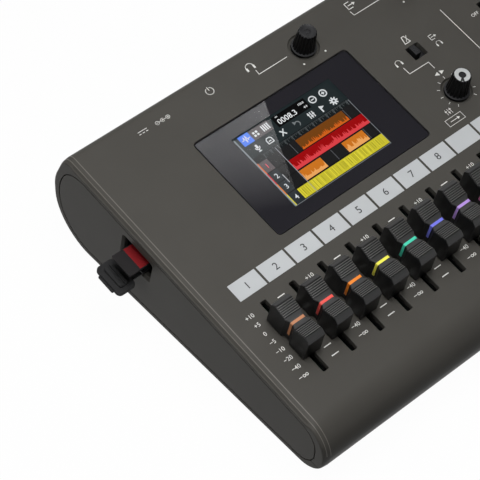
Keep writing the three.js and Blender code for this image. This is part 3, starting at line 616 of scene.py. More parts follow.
def rings_of(shape, levels, centre=(0.0, 0.0)):
    """Rings (level by level) of a flat shape: points + outset * normals + centre, at the level's height."""
    points, normals = shape
    outsets, heights = np.asarray(levels, float).T
    return lifted(points + outsets[:, None, None] * normals + np.asarray(centre), heights)


def turned(profile, sides=48):
    """Rings of a turned shape: for profile point (radius, level) the ring is radius * (cos, sin) at level."""
    radius, level = np.asarray(profile, float).T
    return lifted(radius[:, None, None] * spokes(round_about(sides)), level)


def carve(solid, cutters, operation="DIFFERENCE"):
    """Cuts, joins or intersects a solid with each cutter in turn, and drops the cutters."""
    for cutter in cutters:
        step = solid.modifiers.new("carve", "BOOLEAN")
        step.operation = operation
        step.solver = "MANIFOLD"
        step.object = cutter
    graph = bpy.context.evaluated_depsgraph_get()
    result = bpy.data.meshes.new_from_object(solid.evaluated_get(graph))
    solid.modifiers.clear()
    solid.data = result
    for cutter in cutters:
        bpy.data.objects.remove(cutter)
    return solid


print("cutters ready")

# %% [markdown]
# ## Where the openings are
# The places of the controls come from the CAD nodes themselves, so a cut always meets the piece that goes
# through it. Each opening is then a ring shape and a list of levels. A knob's well is a small bowl with the
# shaft hole in its floor, and the screen's opening has a ledge on which the glass lies.

# %% Openings in the panel
KNOBS = ("phones", "output", "balance", "gain_1", "gain_2")
SWITCHES = ("click", "instrument", "phantom")
KEYS = ("return", "rewind", "forward", "stop", "play", "record")
FADERS = range(1, 11)
THROUGH = WALL + PAST
SEAT = 0.3  # clearance round a fitted piece

knob_at = {name: PANEL @ (np.array(joints[f"{name}_knob_turn"]["pos_m"]) - CORNER) / MM for name in KNOBS}
fader_at = {i: panel_place(f"fader_{i}") for i in FADERS}
switch_at = {name: panel_place(f"{name}_switch") for name in SWITCHES}
key_at = {name: panel_place(f"{name}_key") for name in KEYS}


def foot_of(place):
    """A control's place with its height set to the panel's surface."""
    return np.array([*place[:2], 0.0])


SLOT = (2.8, 35.3, 0.6)  # width, length and corner radius, as for the window, the glass and the view
SLOT_MIDDLE = 28.7
WINDOW = (6.8, 6.5, 0.5)
SLIDER_SETOFF = 1.5  # a slider rests this much left of the middle of its window
KEY_SIZES = {name: (18.0, 10.0 if name in KEYS[:3] else 14.0) for name in KEYS}
GLASS = (79.0, 50.4, 1.6)
GLASS_THICK = 1.5
GLASS_AT = (80.4, 89.2)
VIEW_WINDOW = (60.0, 42.0, 0.6)
VIEW_AT = (79.6, 89.2)
LIGHTS_AT = [knob_at[name][:2] + (-9.4, 0.0) for name in ("gain_1", "gain_2")]  # lamps by the input knobs
LIGHT_HOLE = 1.25
WELL_HOLE, WELL_FLOOR, WELL_RIM, WELL_DEPTH = 3.6, 5.0, 6.45, 1.3  # radii and depth of a knob's bowl


def well_levels(lip=0.25):
    """A knob's bowl: shaft hole, floor, a quarter ellipse up to the lip, and the lip."""
    floor, rim = WELL_FLOOR - WELL_HOLE, WELL_RIM - WELL_HOLE
    turn = np.radians(np.linspace(0, 90, 7))
    risen = np.stack([np.sin(turn), 1 - np.cos(turn)], -1)
    side = (floor, -WELL_DEPTH) + (rim - floor, WELL_DEPTH - 0.3) * risen
    edge = quarter(180, 90, 4, (rim + lip, -lip), lip)
    return np.concatenate([[(0.0, -THROUGH), (0.0, -WELL_DEPTH)], side, edge, [(rim + 0.4, PAST)]])


well = rings_of(circle(WELL_HOLE, 72), well_levels())
glass_hole = np.concatenate([
    rings_of(rounded_box(*VIEW_WINDOW), [(0, -THROUGH), (0, -GLASS_THICK - SEAT)], VIEW_AT),
    rings_of(rounded_box(GLASS[0] + 2 * SEAT, GLASS[1] + 2 * SEAT, GLASS[2] + SEAT),
             lip_levels(GLASS_THICK + SEAT, 0.2), GLASS_AT),
])
slots_at = [(fader_at[i][0], SLOT_MIDDLE) for i in FADERS]
windows_at = [switch_at[name][:2] + (SLIDER_SETOFF, 0) for name in SWITCHES]
key_holes = [(rounded_box(wide + 2 * SEAT, long + 2 * SEAT, 1.2), [key_at[name][:2]], LIP)
             for name, (wide, long) in KEY_SIZES.items()]
panel_cuts = [glass_hole]
panel_cuts += [rings_of(rounded_box(*SLOT), lip_levels(THROUGH, 0.25), at) for at in slots_at]
panel_cuts += [well + foot_of(knob_at[name]) for name in KNOBS]
for shape, places, lip in ((rounded_box(*WINDOW), windows_at, 0.2), (circle(LIGHT_HOLE, 32), LIGHTS_AT, 0.12),
                           *key_holes):
    panel_cuts += [rings_of(shape, lip_levels(THROUGH, lip), at) for at in places]
print(len(panel_cuts), "openings in the panel")

# %% Openings in the back
LAND = CASE_DEPTH - 2.6  # the flat land that the sockets come through
SOCKET_HEIGHT = 21.5
JACKS = ("phones_socket", "output_left_socket", "output_right_socket")
INPUTS = ("input_1_socket", "input_2_socket")
JACK_HOLE, INPUT_HOLE = 5.7, 10.9
INLET_HOLE, POWER_HOLE = (9.8, 4.2, 2.0), (9.0, 4.4, 0.5)
LAND_SIZE = (226.0, 22.0, 2.0)


def at_back(rings):
    """Rings drawn as (x, height above the sockets' centres, distance out of the land), in the case frame."""
    rings = np.asarray(rings)
    return np.stack([rings[..., 0], LAND + rings[..., 2], SOCKET_HEIGHT + rings[..., 1]], axis=-1)


def middle_x(node):
    """Case x of the middle of a CAD node's box."""
    low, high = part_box(node)
    return ((low[0] + high[0]) / 2 - CASE_CORNER[0]) / MM


INLET_AT, POWER_AT = middle_x("power_inlet"), 62.0
back_holes = [(circle(JACK_HOLE), middle_x(name), 0.25) for name in JACKS]
back_holes += [(circle(INPUT_HOLE, 72), middle_x(name), 0.25) for name in INPUTS]
back_holes += [(rounded_box(*INLET_HOLE), INLET_AT, 0.25), (rounded_box(*POWER_HOLE), POWER_AT, 0.2)]
back_cuts = [rings_of(shape, lip_levels(THROUGH, lip), (x, 0)) for shape, x, lip in back_holes]
land = rings_of(rounded_box(*LAND_SIZE), [(0.0, 0.0), (0.0, 2.4), (0.4, 3.6)], (PANEL_WIDTH / 2, 0))
print(len(back_cuts), "openings in the back")

# %% [markdown]
# ## The two shells
# The skin is closed at its ends, hollowed with the inner section, opened at both ends for the caps, and
# given its land, its openings and its parting line. The upper and the lower shell are cut from the same
# solid, so the parting line between them is even all the way round.

# %% Hollow shell
SEAM = 6.0
END_WALL = 2.5
BACK_WALL_INSET = 5.1  # behind the recessed land
FAR = 300.0


def along_x(outline, normals, stations):
    """Rings (x, outline + outset * normal) for stations (outset, x)."""
    return rings_of((outline, normals), stations)[..., [2, 0, 1]]


def box_rings(low, high):
    """A box as two rings, from its lowest and highest corner."""
    (x0, y0, z0), (x1, y1, z1) = low, high
    ring = np.array([(x0, y0), (x1, y0), (x1, y1), (x0, y1)])
    return lifted(np.stack([ring, ring]), (z0, z1))


CAVITY_HEEL = 12.0
cavity_radii = [radius - WALL for radius in CASE_RADII]
cavity_radii[1] = CAVITY_HEEL
cavity_outline = section((WALL, BACK_WALL_INSET, WALL, WALL, WALL), cavity_radii)
cap_outline = section(CAP_INSETS, CAP_RADII)


def mouth(x_face, outwards):
    """The end opening as rings, with a rounded lip at the end face."""
    levels = lip_levels(END_WALL + PAST, 0.25)
    stations = np.stack([levels[:, 0], x_face + outwards * levels[:, 1]], axis=-1)
    return in_case(along_x(*cap_outline, stations))


def shell(name, dropped):
    """The whole case with its ends open, without the half that a box takes away."""
    solid = loft(name, in_case(skin_rings))
    cavity_ends = [(0, -END_RIM + END_WALL), (0, PANEL_WIDTH + END_RIM - END_WALL)]
    inner = in_case(along_x(*cavity_outline, cavity_ends))
    ends = several("ends", [mouth(-END_RIM, -1), mouth(PANEL_WIDTH + END_RIM, 1)])
    others = [loft("land", in_case(at_back(land))), loft("half", in_case(dropped))]
    return carve(solid, [loft("inner", inner), ends, *others])


below = box_rings((-FAR, -FAR, -FAR), (FAR, FAR, SEAM + SEAT / 2))
above = box_rings((-FAR, -FAR, SEAM - SEAT / 2), (FAR, FAR, FAR))
upper_case = shell("upper_case", below)
openings = [on_panel(rings) for rings in panel_cuts] + [in_case(at_back(rings)) for rings in back_cuts]
carve(upper_case, [several("openings", openings)])
coat(upper_case, case_plastic, highlight_plastic)
facets = upper_case.data.polygons
middles, headings = (np.empty((len(facets), 3), np.float32) for _ in range(2))
facets.foreach_get("center", middles.ravel())
facets.foreach_get("normal", headings.ravel())
along = (middles[:, 0] - CASE_CORNER[0]) / MM
from_end = np.minimum(along, PANEL_WIDTH - along)
# the upward faces along the bead's two lines get the painted highlight
on_line = np.any([np.abs(from_end - at) < half for at, half in HIGHLIGHT_LINES], axis=0)
highlighted = on_line & (headings @ OUTWARD > 0.3)
facets.foreach_set("material_index", highlighted.astype(np.int32))
shade(upper_case)
dress(upper_case, "root", "case", "top_case")
print("upper case of", len(facets), "faces,", highlighted.sum(), "of them rubbed")

# %% [markdown]
# ## The lower shell
# The lower shell is a shallow tray. It carries the bay of the four cells, the posts of the main board, a
# seat for each foot, and six screws that come up from below. The bay and the posts are joined to the tray,
# and what has to stay open is cut from all of it at once. Sizes of the bay come from the door that closes
# it.

# %% Lower case
BAY_WALL = 1.5
BAY_HEIGHT = 17.0
FOOT_SEAT = 0.8
POST_RADIUS = 3.0
FOOT_HOLE = 6.3
POSTS_AT = [(x, y) for x in (24.0, 230.0) for y in (80.0, 115.0)]
SCREWS_AT = [(x, y) for x in (36.0, 125.0, 214.0) for y in (34.0, 134.0)]
SCREW_HEAD = 2.6
SCREW_DEPTH = 1.4
FEET = ("foot_front_left", "foot_front_right", "foot_back_left", "foot_back_right")


def case_box(node):
    """Lowest and highest corner of a CAD node, in case millimetres."""
    return [(np.array(corner) - CASE_CORNER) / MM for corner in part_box(node)]


def underside(points):
    """Rings drawn looking up at the underside, with levels measured out of it, in the case frame."""
    return np.asarray(points) * (1, 1, -1)


door_low, door_high = case_box("battery_door")
bay_low = np.array([door_low[0] - SEAT, door_low[1] - SEAT, -PAST])
bay_high = np.array([door_high[0] + SEAT, door_high[1] + SEAT, BAY_HEIGHT])
bay_out = [bay_low + (-BAY_WALL, -BAY_WALL, PAST), bay_high + BAY_WALL]
posts = [turned([(POST_RADIUS, 1.0), (POST_RADIUS, bay_out[1][2])], 24) + (x, y, 0) for x, y in POSTS_AT]
feet_at = [sum(case_box(name))[:2] / 2 for name in FEET]
seats = [underside(turned([(FOOT_HOLE, -FOOT_SEAT), (FOOT_HOLE, PAST)]) + (x, y, 0)) for x, y in feet_at]
screw_hole = circle(SCREW_HEAD + 0.15), lip_levels(SCREW_DEPTH, 0.2)
seats += [underside(rings_of(*screw_hole, at)) for at in SCREWS_AT]

lower_case = shell("lower_case", above)
added = [loft("bay", in_case(box_rings(*bay_out))), *(loft("post", in_case(post)) for post in posts)]
carve(lower_case, added, "UNION")
carve(lower_case, [loft("inside", in_case(box_rings(bay_low, bay_high))),
                   several("seats", [in_case(rings) for rings in seats])])
dress(shade(coat(lower_case, case_plastic)), "root", "case", "bottom_case")
print("lower case of", len(lower_case.data.polygons), "faces")

# %% [markdown]
# ## End caps
# Each open end of the shells is closed by a cap whose edge is slightly rounded, so a fine dark line runs
# round it. The left cap has the opening of the card slot, with a wide bevel that catches the light.

# %% Caps
CAP_PLATE = 2.8
SLOT_AT = (93.1, 12.85)  # v of the middle of the card slot, and its depth below the panel
SLOT_SIZE = (16.0, 11.1)
SLOT_BEVEL = 0.9


def cap_rings(x_face, outwards):
    """The cap's plate: the opening's outline moved in by its clearance, with a rounded outer edge."""
    round_off = quarter(0, 90, 5, (-0.35, -0.35), 0.35)
    levels = np.concatenate([[(0.0, -CAP_PLATE)], round_off])
    stations = np.stack([levels[:, 0] - SEAT, x_face + outwards * levels[:, 1]], axis=-1)
    return in_case(along_x(*cap_outline, stations))


def at_slot(rings):
    """Rings drawn as (v, out of the panel, out of the end face) about the slot's middle, in the row frame."""
    rings = np.asarray(rings)
    v, level, out = rings[..., 0], rings[..., 1], rings[..., 2]
    return on_panel(np.stack([-END_RIM - out, SLOT_AT[0] + v, -SLOT_AT[1] + level], axis=-1))


left_cap = loft("left_cap", cap_rings(-END_RIM, -1), case_plastic)
bevel = [(0.0, -CAP_PLATE - PAST), (0.0, -1.3), (0.1, -1.05), (SLOT_BEVEL - 0.1, -0.15), (SLOT_BEVEL, 0.0),
         (SLOT_BEVEL + 0.1, PAST)]
carve(left_cap, [loft("slot", at_slot(rings_of(rounded_box(*SLOT_SIZE, 1.0), bevel)))])
right_cap = loft("right_cap", cap_rings(PANEL_WIDTH + END_RIM, 1), case_plastic)
for cap, node in ((left_cap, "left_end_cap"), (right_cap, "right_end_cap")):
    dress(shade(cap), "root", "case", node)
print("end caps", [len(cap.data.polygons) for cap in (left_cap, right_cap)], "faces")

# %% [markdown]
# ## Rubbers and glossier plastics
# The moving controls are moulded in black, a little smoother than the case. The same recipe makes them,
# with a finer grain and a stronger shine, and it makes rubber with almost none.

# %% Black plastics and rubber
SMOOTH = {"grain": 0.2, "depth": 0.008}
fader_plastic = grained_plastic("fader_plastic", (20, 20, 21), 0.4, specular=0.5, **SMOOTH)
knob_plastic = grained_plastic("knob_plastic", (14, 14, 15), 0.38, specular=0.2, **SMOOTH)
# painted light: lighter greys for the tops of the black fader caps, standing in for light from above, and a
# painted highlight on the tops of the ribs
lit_top_plastic = grained_plastic("lit_top_plastic", (50, 50, 50), 0.45, **SMOOTH)
rib_highlight_plastic = grained_plastic("rib_highlight_plastic", (92, 91, 90), 0.45, **SMOOTH)
soft_rubber = grained_plastic("soft_rubber", (31, 31, 32), 0.7, grain=0.5, specular=0.3)
print("made", fader_plastic.name, knob_plastic.name, soft_rubber.name)

# %% [markdown]
# ## Fader caps
# A fader cap is drawn in at its waist, where a coloured line crosses it, and rises to a crest on each side.
# Fine ribs run across both slopes. The cap is lofted from cross-sections along the slide: each is an
# upside-down U whose half width and height are functions of the distance from the waist, so ribs are only
# ripples in height. The faces on top are painted lighter than the sides and the grooves: painted light
# from above on the level faces, and a painted highlight on the tops of the ribs.

# %% Fader caps
HALF_CAP = 10.4
CREST = 8.2
CREST_HEIGHT, WAIST_HEIGHT, END_HEIGHT = 12.8, 10.8, 11.1
CAP_LIFT = 0.8
CAP_HALF_WIDTH, WAIST_HALF_WIDTH = 4.4, 3.3
WAIST_END, FLANK_END = 0.9, 2.3
CAP_TAPER = 0.1 / 13.9  # share of the width lost per millimetre of height
RIB_FIRST, RIB_PITCH, RIBS, RIB_DEPTH = 2.9, 0.82, 7, 0.55
RIB_GROOVE = (-0.27, -0.19, 0.15, 0.23)  # edges of a groove and of its floor, from the groove's middle
PLAIN_STATIONS = (0.0, 0.9, 1.2, 2.0, 2.3, 8.5, 8.9, 9.9, 10.0, 10.1, 10.2, 10.3, 10.37, 10.4)
STEM = (1.2, 4.0, -5.0)  # width, length and foot


def cap_half_width(y):
    """Half the width at the foot: waist, then a slanted flank, then straight to a rounded end corner."""
    corner = 0.4
    y = np.abs(y)
    flank = np.interp(y, (WAIST_END, FLANK_END), (WAIST_HALF_WIDTH, CAP_HALF_WIDTH))
    past = np.clip(y - (HALF_CAP - corner), 0, corner)
    return flank - corner + np.sqrt(corner ** 2 - past ** 2)


def cap_height(y):
    """Height: level at the waist, a slope up to the crest, a slope down to the end, and a soft end edge."""
    y = np.abs(y)
    slope = np.interp(y, (1.2, CREST, HALF_CAP), (WAIST_HEIGHT, CREST_HEIGHT, END_HEIGHT))
    return slope - 0.5 * np.clip((y - HALF_CAP + 0.5) / 0.5, 0, 1) ** 2


def cap_stations():
    """Distances along the slide, with the depth of the groove at each: four stations make one groove."""
    middles = RIB_FIRST + RIB_PITCH * np.arange(RIBS)
    grooves = np.tile((0.0, -RIB_DEPTH, -RIB_DEPTH, 0.0), RIBS)
    ribs = np.column_stack([(middles[:, None] + RIB_GROOVE).ravel(), grooves])
    half = np.concatenate([ribs, [(y, 0.0) for y in PLAIN_STATIONS]])
    half = half[np.argsort(half[:, 0])]
    return np.concatenate([half[:0:-1] * (-1, 1), half])


def cap_section(y, rib):
    """One ring: up the right side, round its top edge, across, and down the left side."""
    edge, steps = 0.45, 4
    foot, top = cap_half_width(y), cap_height(y) + rib
    at_top = foot * (1 - CAP_TAPER * top)
    arc = quarter(0, 90, steps, (at_top - edge, top - edge), edge)
    right = np.concatenate([[(foot, CAP_LIFT), (at_top, top - 2.5)], arc, [(at_top / 3, top)]])
    ring = np.concatenate([right, right[::-1] * (-1, 1)])
    return np.column_stack([ring[:, 0], np.full(len(ring), y), ring[:, 1]])


cap_rings_local = np.stack([cap_section(y, rib) for y, rib in cap_stations()])
stem_side, stem_end = STEM[0] / 2, STEM[1] / 2
stem_rings = box_rings((-stem_side, -stem_end, STEM[2]), (stem_side, stem_end, WAIST_HEIGHT / 2))


def rub_lands(cap, at):
    """Painted light on faces on top: a lighter grey on level faces, a painted highlight on the tops of the
    ribs, none on the floors of the grooves.
    """
    ribs = RIB_FIRST - RIB_PITCH / 2, RIB_FIRST + RIB_PITCH * (RIBS - 0.5)
    for polygon in cap.data.polygons:
        _, y, level = PANEL @ (np.array(polygon.center) - CORNER) / MM - at
        outwards = polygon.normal @ Vector(OUTWARD)
        if outwards > 0.75 and level > cap_height(y) - 0.2:
            polygon.material_index = 2 if ribs[0] < abs(y) < ribs[1] else 1


for i in FADERS:
    at = foot_of(fader_at[i])
    cap = several(f"fader_cap_{i}", [on_panel(rings + at) for rings in (cap_rings_local, stem_rings)])
    rub_lands(coat(cap, fader_plastic, lit_top_plastic, rib_highlight_plastic), at)
    dress(shade(cap, math.radians(28)), f"fader_{i}", "fader_cap", f"fader_{i}")
print("fader caps of", len(cap.data.polygons), "faces")

# %% [markdown]
# ## Coloured lines
# Each cap carries a line in the colour of its track, moulded in, over the waist and down both sides. It is
# a flat bar bent along the waist's cross-section: every point of the path is moved out and in along its
# normal.

# %% Lines on the caps
LINE_WIDTH = 1.15
LINE_PROUD, LINE_SUNK = 0.1, 0.3
LINE_FOOT = 3.4
LINE_COLOURS = ((196, 132, 92), (243, 88, 80), (240, 135, 38), (250, 244, 88), (74, 222, 188),
                (122, 126, 240), (190, 152, 232), (236, 130, 190), (214, 216, 220), (120, 124, 130))


def line_rings():
    """Rings of four points across the bar, at every point of the path over the waist."""
    path = cap_section(0.0, 0.0)[1:-1, ::2]
    path[0, 1] = path[-1, 1] = LINE_FOOT
    path[[0, -1], 0] = np.array([1, -1]) * cap_half_width(0.0) * (1 - CAP_TAPER * LINE_FOOT)
    tangent = np.gradient(path, axis=0)
    tangent /= np.linalg.norm(tangent, axis=1)[:, None]
    normal = np.stack([tangent[:, 1], -tangent[:, 0]], axis=-1)
    outs = np.array((LINE_PROUD, LINE_PROUD, -LINE_SUNK, -LINE_SUNK))
    sides = np.array((-1, 1, 1, -1)) * LINE_WIDTH / 2
    return lifted(path + outs[:, None, None] * normal, sides).swapaxes(0, 1)[..., [0, 2, 1]]


line_local = line_rings()
for i, colour in zip(FADERS, LINE_COLOURS):
    look = grained_plastic(f"line_plastic_{i}", colour, 0.45, grain=0.3, depth=0.004, clouding=0.03,
                           specular=0.3)
    line = loft(f"fader_line_{i}", on_panel(line_local + foot_of(fader_at[i])), look)
    dress(shade(line), f"fader_{i}", "fader_cap")
print("line path of", len(line_local), "points")

# %% [markdown]
# ## Dust strips
# Under each slot two lips of felt close the gap round the stem. They are near black, as painted shade, so a
# slot looks black inside. A strip is a flat ring: the outline of its slit and its outer outline, each at two
# levels, joined
# all the way round.

# %% Strips under the slots
SLIT = (1.5, 34.4, 0.3)
STRIP = (6.4, 38.0, 0.8)
STRIP_TOP, STRIP_FOOT = -WALL - 0.06, -WALL - 0.36


def flat_ring(inner, outer, top, foot):
    """A flat ring as four rings joined all round: its inner and its outer outline, each at two levels."""
    return lifted(np.stack([inner, outer, outer, inner]), (top, top, foot, foot))


# painted shade: the strips are near black, which stands in for the shade deep in each slot
shade_felt = grained_plastic("shade_felt", (9, 9, 9), 0.95, grain=0.6, depth=0.1, specular=0.05)
strip = flat_ring(rounded_box(*SLIT)[0], rounded_box(*STRIP)[0], STRIP_TOP, STRIP_FOOT)
strips = [on_panel(strip + (*at, 0)) for at in slots_at]
dress(several("dust_strips", strips, shade_felt, "join"), "root", "rubber")
print(len(strips), "dust strips")

# %% [markdown]
# ## Marks as thin plates
# Printing, the picture on the screen and the signs on the keys are all flat marks. Each is a plate a few
# hundredths of a millimetre thick, so it has a real edge and needs no image. A mark is a filled outline, or
# a stroke of some width along a path, or a figure from Blender's own typeface turned into a mesh.

# %% Outlines, strokes and figures
def plate(points, low, high):
    """Two rings of a filled outline, turned anticlockwise if its signed area is negative."""
    points = np.asarray(points, float)
    x, y = points.T
    if np.sum(x * np.roll(y, -1) - np.roll(x, -1) * y) < 0:
        points = points[::-1]
    return lifted(np.stack([points, points]), (low, high))


def rectangle(left, low, wide, high):
    """Outline of an upright rectangle."""
    return [(left, low), (left + wide, low), (left + wide, low + high), (left, low + high)]


def disc(x, y, radius, sides=20):
    """Outline of a circle."""
    return circle(radius, sides)[0] + (x, y)


def stroke(path, width):
    """Outlines of a path's straight pieces, each half a width longer at both ends to fill the corners."""
    path = np.asarray(path, float)
    outlines = []
    for start, end in zip(path[:-1], path[1:]):
        along = unit(end - start) * width / 2
        side = np.array([-along[1], along[0]])
        outlines.append([start - along + side, start - along - side, end + along - side, end + along + side])
    return outlines


def bow(x, y, radius, start, end, steps=12):
    """Path along an arc, with its angles in degrees."""
    return quarter(start, end, steps, (x, y), radius)


def moved(outlines, x, y, scale=1.0):
    """Outlines scaled about the origin and then shifted."""
    return [np.asarray(outline, float) * scale + (x, y) for outline in outlines]


BOLD = 0.006  # strokes grow by this share of the size


def figures(text, size, thickness):
    """Points and faces of a line of figures, about its own middle, in millimetres."""
    curve = bpy.data.curves.new("figures", "FONT")
    curve.body = text
    curve.size = size
    curve.extrude = thickness / 2
    curve.offset = BOLD
    curve.resolution_u = 3
    holder = bpy.data.objects.new("figures", curve)
    mesh = bpy.data.meshes.new_from_object(holder)
    points = np.empty(3 * len(mesh.vertices), np.float32)
    mesh.vertices.foreach_get("co", points)
    points = points.reshape(-1, 3).astype(float)
    faces = [list(polygon.vertices) for polygon in mesh.polygons]
    bpy.data.objects.remove(holder)
    bpy.data.meshes.remove(mesh)
    return points - (points.min(axis=0) + points.max(axis=0)) / 2, faces


def written(name, lines, level, thickness, material):
    """One piece of many lines of figures, each given as (text, u, v, size), lying at a level on the panel."""
    points, faces, first = [], [], 0
    for text, u, v, size in lines:
        shape, parts = figures(text, size, thickness)
        points.append(shape + (u, v, level + thickness / 2))
        faces += [[index + first for index in part] for part in parts]
        first += len(shape)
    return piece_from(name, on_panel(np.concatenate(points)), faces, material)


print("a figure 8 has", len(figures("8", 1.0, 0.1)[1]), "faces")

# %% [markdown]
# ## Knobs
# A knob stands in its bowl on a round skirt. Its body tapers upwards and is fluted, so its top edge is
# scalloped. The radius is therefore a function of height and of angle: a profile in height, less a flute
# wave that fades out at the skirt. A knob is drawn with its mark towards +v and turned to where it points
# at rest.

# %% Knob bodies
KNOB_FLUTES = 18
FLUTE_DEPTH = 0.46
KNOB_SIDES = 10 * KNOB_FLUTES
KNOB_REST = math.radians(138)  # every knob stands near its lower limit, to the lower left
KNOB_BORE = (3.3, 6.8)
# radius, height and share of the flutes
KNOB_PROFILE = ((3.3, -0.7, 0.0), (5.1, -0.7, 0.0), (5.3, -0.5, 0.0), (5.3, 0.35, 0.0), (5.22, 0.48, 0.0),
                (5.05, 0.52, 0.0), (4.72, 0.55, 0.6), (4.62, 0.9, 1.0), (4.2, 5.5, 1.0), (3.83, 9.6, 1.0),
                (3.78, 9.95, 1.0), (3.66, 10.1, 0.9), (3.5, 10.15, 0.75), (3.1, 10.14, 0.0))


def knob_rings(top):
    """Rings of radius profile - share * wave, where wave = depth * (1 - |sin(flutes * angle / 2)| ** 1.5)."""
    radius, level, share = np.array(KNOB_PROFILE).T
    sweep = round_about(KNOB_SIDES)
    wave = FLUTE_DEPTH * (1 - np.abs(np.sin(KNOB_FLUTES * sweep / 2)) ** 1.5)
    spread = radius[:, None] - share[:, None] * wave
    bore = turned([(0.0, KNOB_BORE[1]), (KNOB_BORE[0], KNOB_BORE[1])], KNOB_SIDES)
    return np.concatenate([bore, lifted(spread[..., None] * spokes(sweep), level), turned(top, KNOB_SIDES)])


def rotated(points, angle):
    """Points turned about the w axis, anticlockwise."""
    cos, sin = math.cos(angle), math.sin(angle)
    return np.asarray(points) @ np.array([(cos, sin, 0.0), (-sin, cos, 0.0), (0.0, 0.0, 1.0)])


PLAIN_TOP = [(2.9, 10.0), (1.45, 9.9), (1.3, 9.92), (1.2, 10.02), (1.1, 10.18), (0.95, 10.2), (0.85, 10.1),
             (0.8, 9.95), (0.0, 9.93)]
DISHED_TOP = [(2.9, 10.1), (1.6, 10.1), (1.5, 10.05), (1.4, 9.75), (0.0, 9.72)]
# the raised mark of a plain knob: a rounded bar from the ring to the rim and a little way down the side
POINTER = rings_of(rounded_box(0.55, 2.3, 0.25), [(-0.12, 10.2), (0.0, 10.1), (0.0, 9.6)], (0.0, 2.45))


def turned_home(name, lofts):
    """Lofts drawn with the mark towards +v, turned to where a knob points at rest and set in its place."""
    return [on_panel(rotated(rings, KNOB_REST) + foot_of(knob_at[name])) for rings in lofts]


# painted light: a lighter grey for the faces on top of knobs and levers, standing in for light from above
top_light_plastic = grained_plastic("top_light_plastic", (34, 34, 36), 0.45, specular=0.3, **SMOOTH)


def rub_tops(piece):
    """Black plastic, with a lighter grey on the faces that face outwards: painted light from above."""
    coat(piece, knob_plastic, top_light_plastic)
    for polygon in piece.data.polygons:
        polygon.material_index = int(polygon.normal @ Vector(OUTWARD) > 0.4)


for name in KNOBS:
    lofts = [knob_rings(DISHED_TOP)] if name == "balance" else [knob_rings(PLAIN_TOP), POINTER]
    knob = several(f"{name}_grip", turned_home(name, lofts))
    rub_tops(knob)
    dress(shade(knob), f"{name}_knob", "knob", f"{name}_knob")
print("knobs of", len(knob.data.polygons), "faces")

# %% [markdown]
# ## The balance knob's pale ring
# One knob is marked by a pale insert in the shape of a letter C, open where it points. It is an annulus
# with a gap: a rectangle in radius and height, carried round most of a circle, and closed at both ends.

# %% C-shaped insert
INSERT = (1.55, 3.25, 10.02, 10.22)  # inner and outer radius, foot and top
INSERT_GAP = math.radians(16)
DOT_AT, DOT_RADIUS = 3.2, 0.24  # distance of the pale dot in the gap from the axis, and its radius
EASE = 0.06  # bevel of the insert's top edges

pale_plastic = grained_plastic("pale_plastic", (196, 198, 198), 0.45, grain=0.3, depth=0.006, clouding=0.03)
inner, outer, foot, top = INSERT
across = np.array([(inner, foot), (inner, top - EASE), (inner + EASE, top),
                   (outer - EASE, top), (outer, top - EASE), (outer, foot)])
sweep = np.linspace(INSERT_GAP, 2 * np.pi - INSERT_GAP, 72) + np.pi / 2
ring_c = lifted(across[:, 0, None, None] * spokes(sweep), across[:, 1]).swapaxes(0, 1)
dot = turned([(0.0, 10.16), (DOT_RADIUS, 10.14), (DOT_RADIUS, 9.9), (0.0, 9.9)], 16) + (0.0, DOT_AT, 0.0)
insert = several("balance_insert", turned_home("balance", (ring_c, dot)), pale_plastic)
dress(shade(insert), "balance_knob", "knob")
print("insert of", len(insert.data.polygons), "faces")

# %% [markdown]
# ## Slide switches
# Each slide switch shows a small lever in a square window. The lever is a block with rounded edges, and it
# carries a thin shutter that keeps dust out of the window. The tops of both are painted lighter, as light
# from above.

# %% Switch levers
LEVER = (3.0, 4.8, 0.3)
LEVER_LEVELS = [(0.0, -3.05), (0.0, 0.4), (-0.15, 1.8), (-0.22, 1.95), (-0.35, 2.0)]
SHUTTER = (10.4, 7.4, 0.3)
lever = rings_of(rounded_box(*LEVER), LEVER_LEVELS)
shutter = rings_of(rounded_box(*SHUTTER), [(0.0, -2.98), (0.0, -2.76)])
for name in SWITCHES:
    at = foot_of(switch_at[name])
    made = several(f"{name}_lever", [on_panel(rings + at) for rings in (lever, shutter)])
    rub_tops(made)
    dress(shade(made), f"{name}_switch", "knob", f"{name}_switch")
print("levers of", len(made.data.polygons), "faces")

# %% [markdown]
# ## Transport keys
# The keys are rounded plates with a shallow dish in the top, held under the wall by a flange. The dish is
# made by levels that step inwards and down along an arc.

# %% Keys
KEY_TOP = 1.08  # level of the floor of the dish
KEY_LEVELS = [(0.8, -3.6), (0.8, -2.8), (0.0, -2.8), (0.0, 0.0), (-0.25, 1.0), (-0.42, 1.28), (-0.7, 1.4),
              (-1.1, 1.38), (-2.0, 1.2), (-3.2, KEY_TOP)]
key_plastic = grained_plastic("key_plastic", (44, 43, 42), 0.5, grain=0.3, depth=0.015, specular=0.45)
for name, (wide, long) in KEY_SIZES.items():
    rings = rings_of(rounded_box(wide, long, 1.0), KEY_LEVELS, key_at[name][:2])
    key = loft(f"{name}_cap", on_panel(rings), key_plastic)
    dress(shade(key, math.radians(25)), f"{name}_key", "key", f"{name}_key")
print("keys of", len(key.data.polygons), "faces")

# %% [markdown]
# ## The screen
# The screen is three things, one above another: the display in its frame, a dark printed border under the
# glass, and the glass itself. The glass bends light hardly at all, and the smooth print and picture below
# it mirror the softbox in its place. The picture is a plain, made-up arrangement page, with four numbered
# lanes, blocks of sound and a row of simple signs. It is built as thin coloured plates that glow, so it
# needs no image.

# %% Glass and its border
LIT = (55.95, 70.8, 49.4, 37.0)  # lower left corner, width and height of the picture, on the panel
PICTURE_LEVEL = -1.9
SHEET = 0.6  # thickness of the glass where it can be seen
BORDER = (-0.66, -0.8)  # levels of the printed border
BORDER_INSET = 0.2  # how much smaller the border is than the glass
OPENING, OPENING_SHIFT = (1.3, 0.6), (-0.94, -0.43)  # its opening: growth over the picture, and shift
GLASS_INDEX = 1.03  # low, because the sheet under the glass gives the reflections

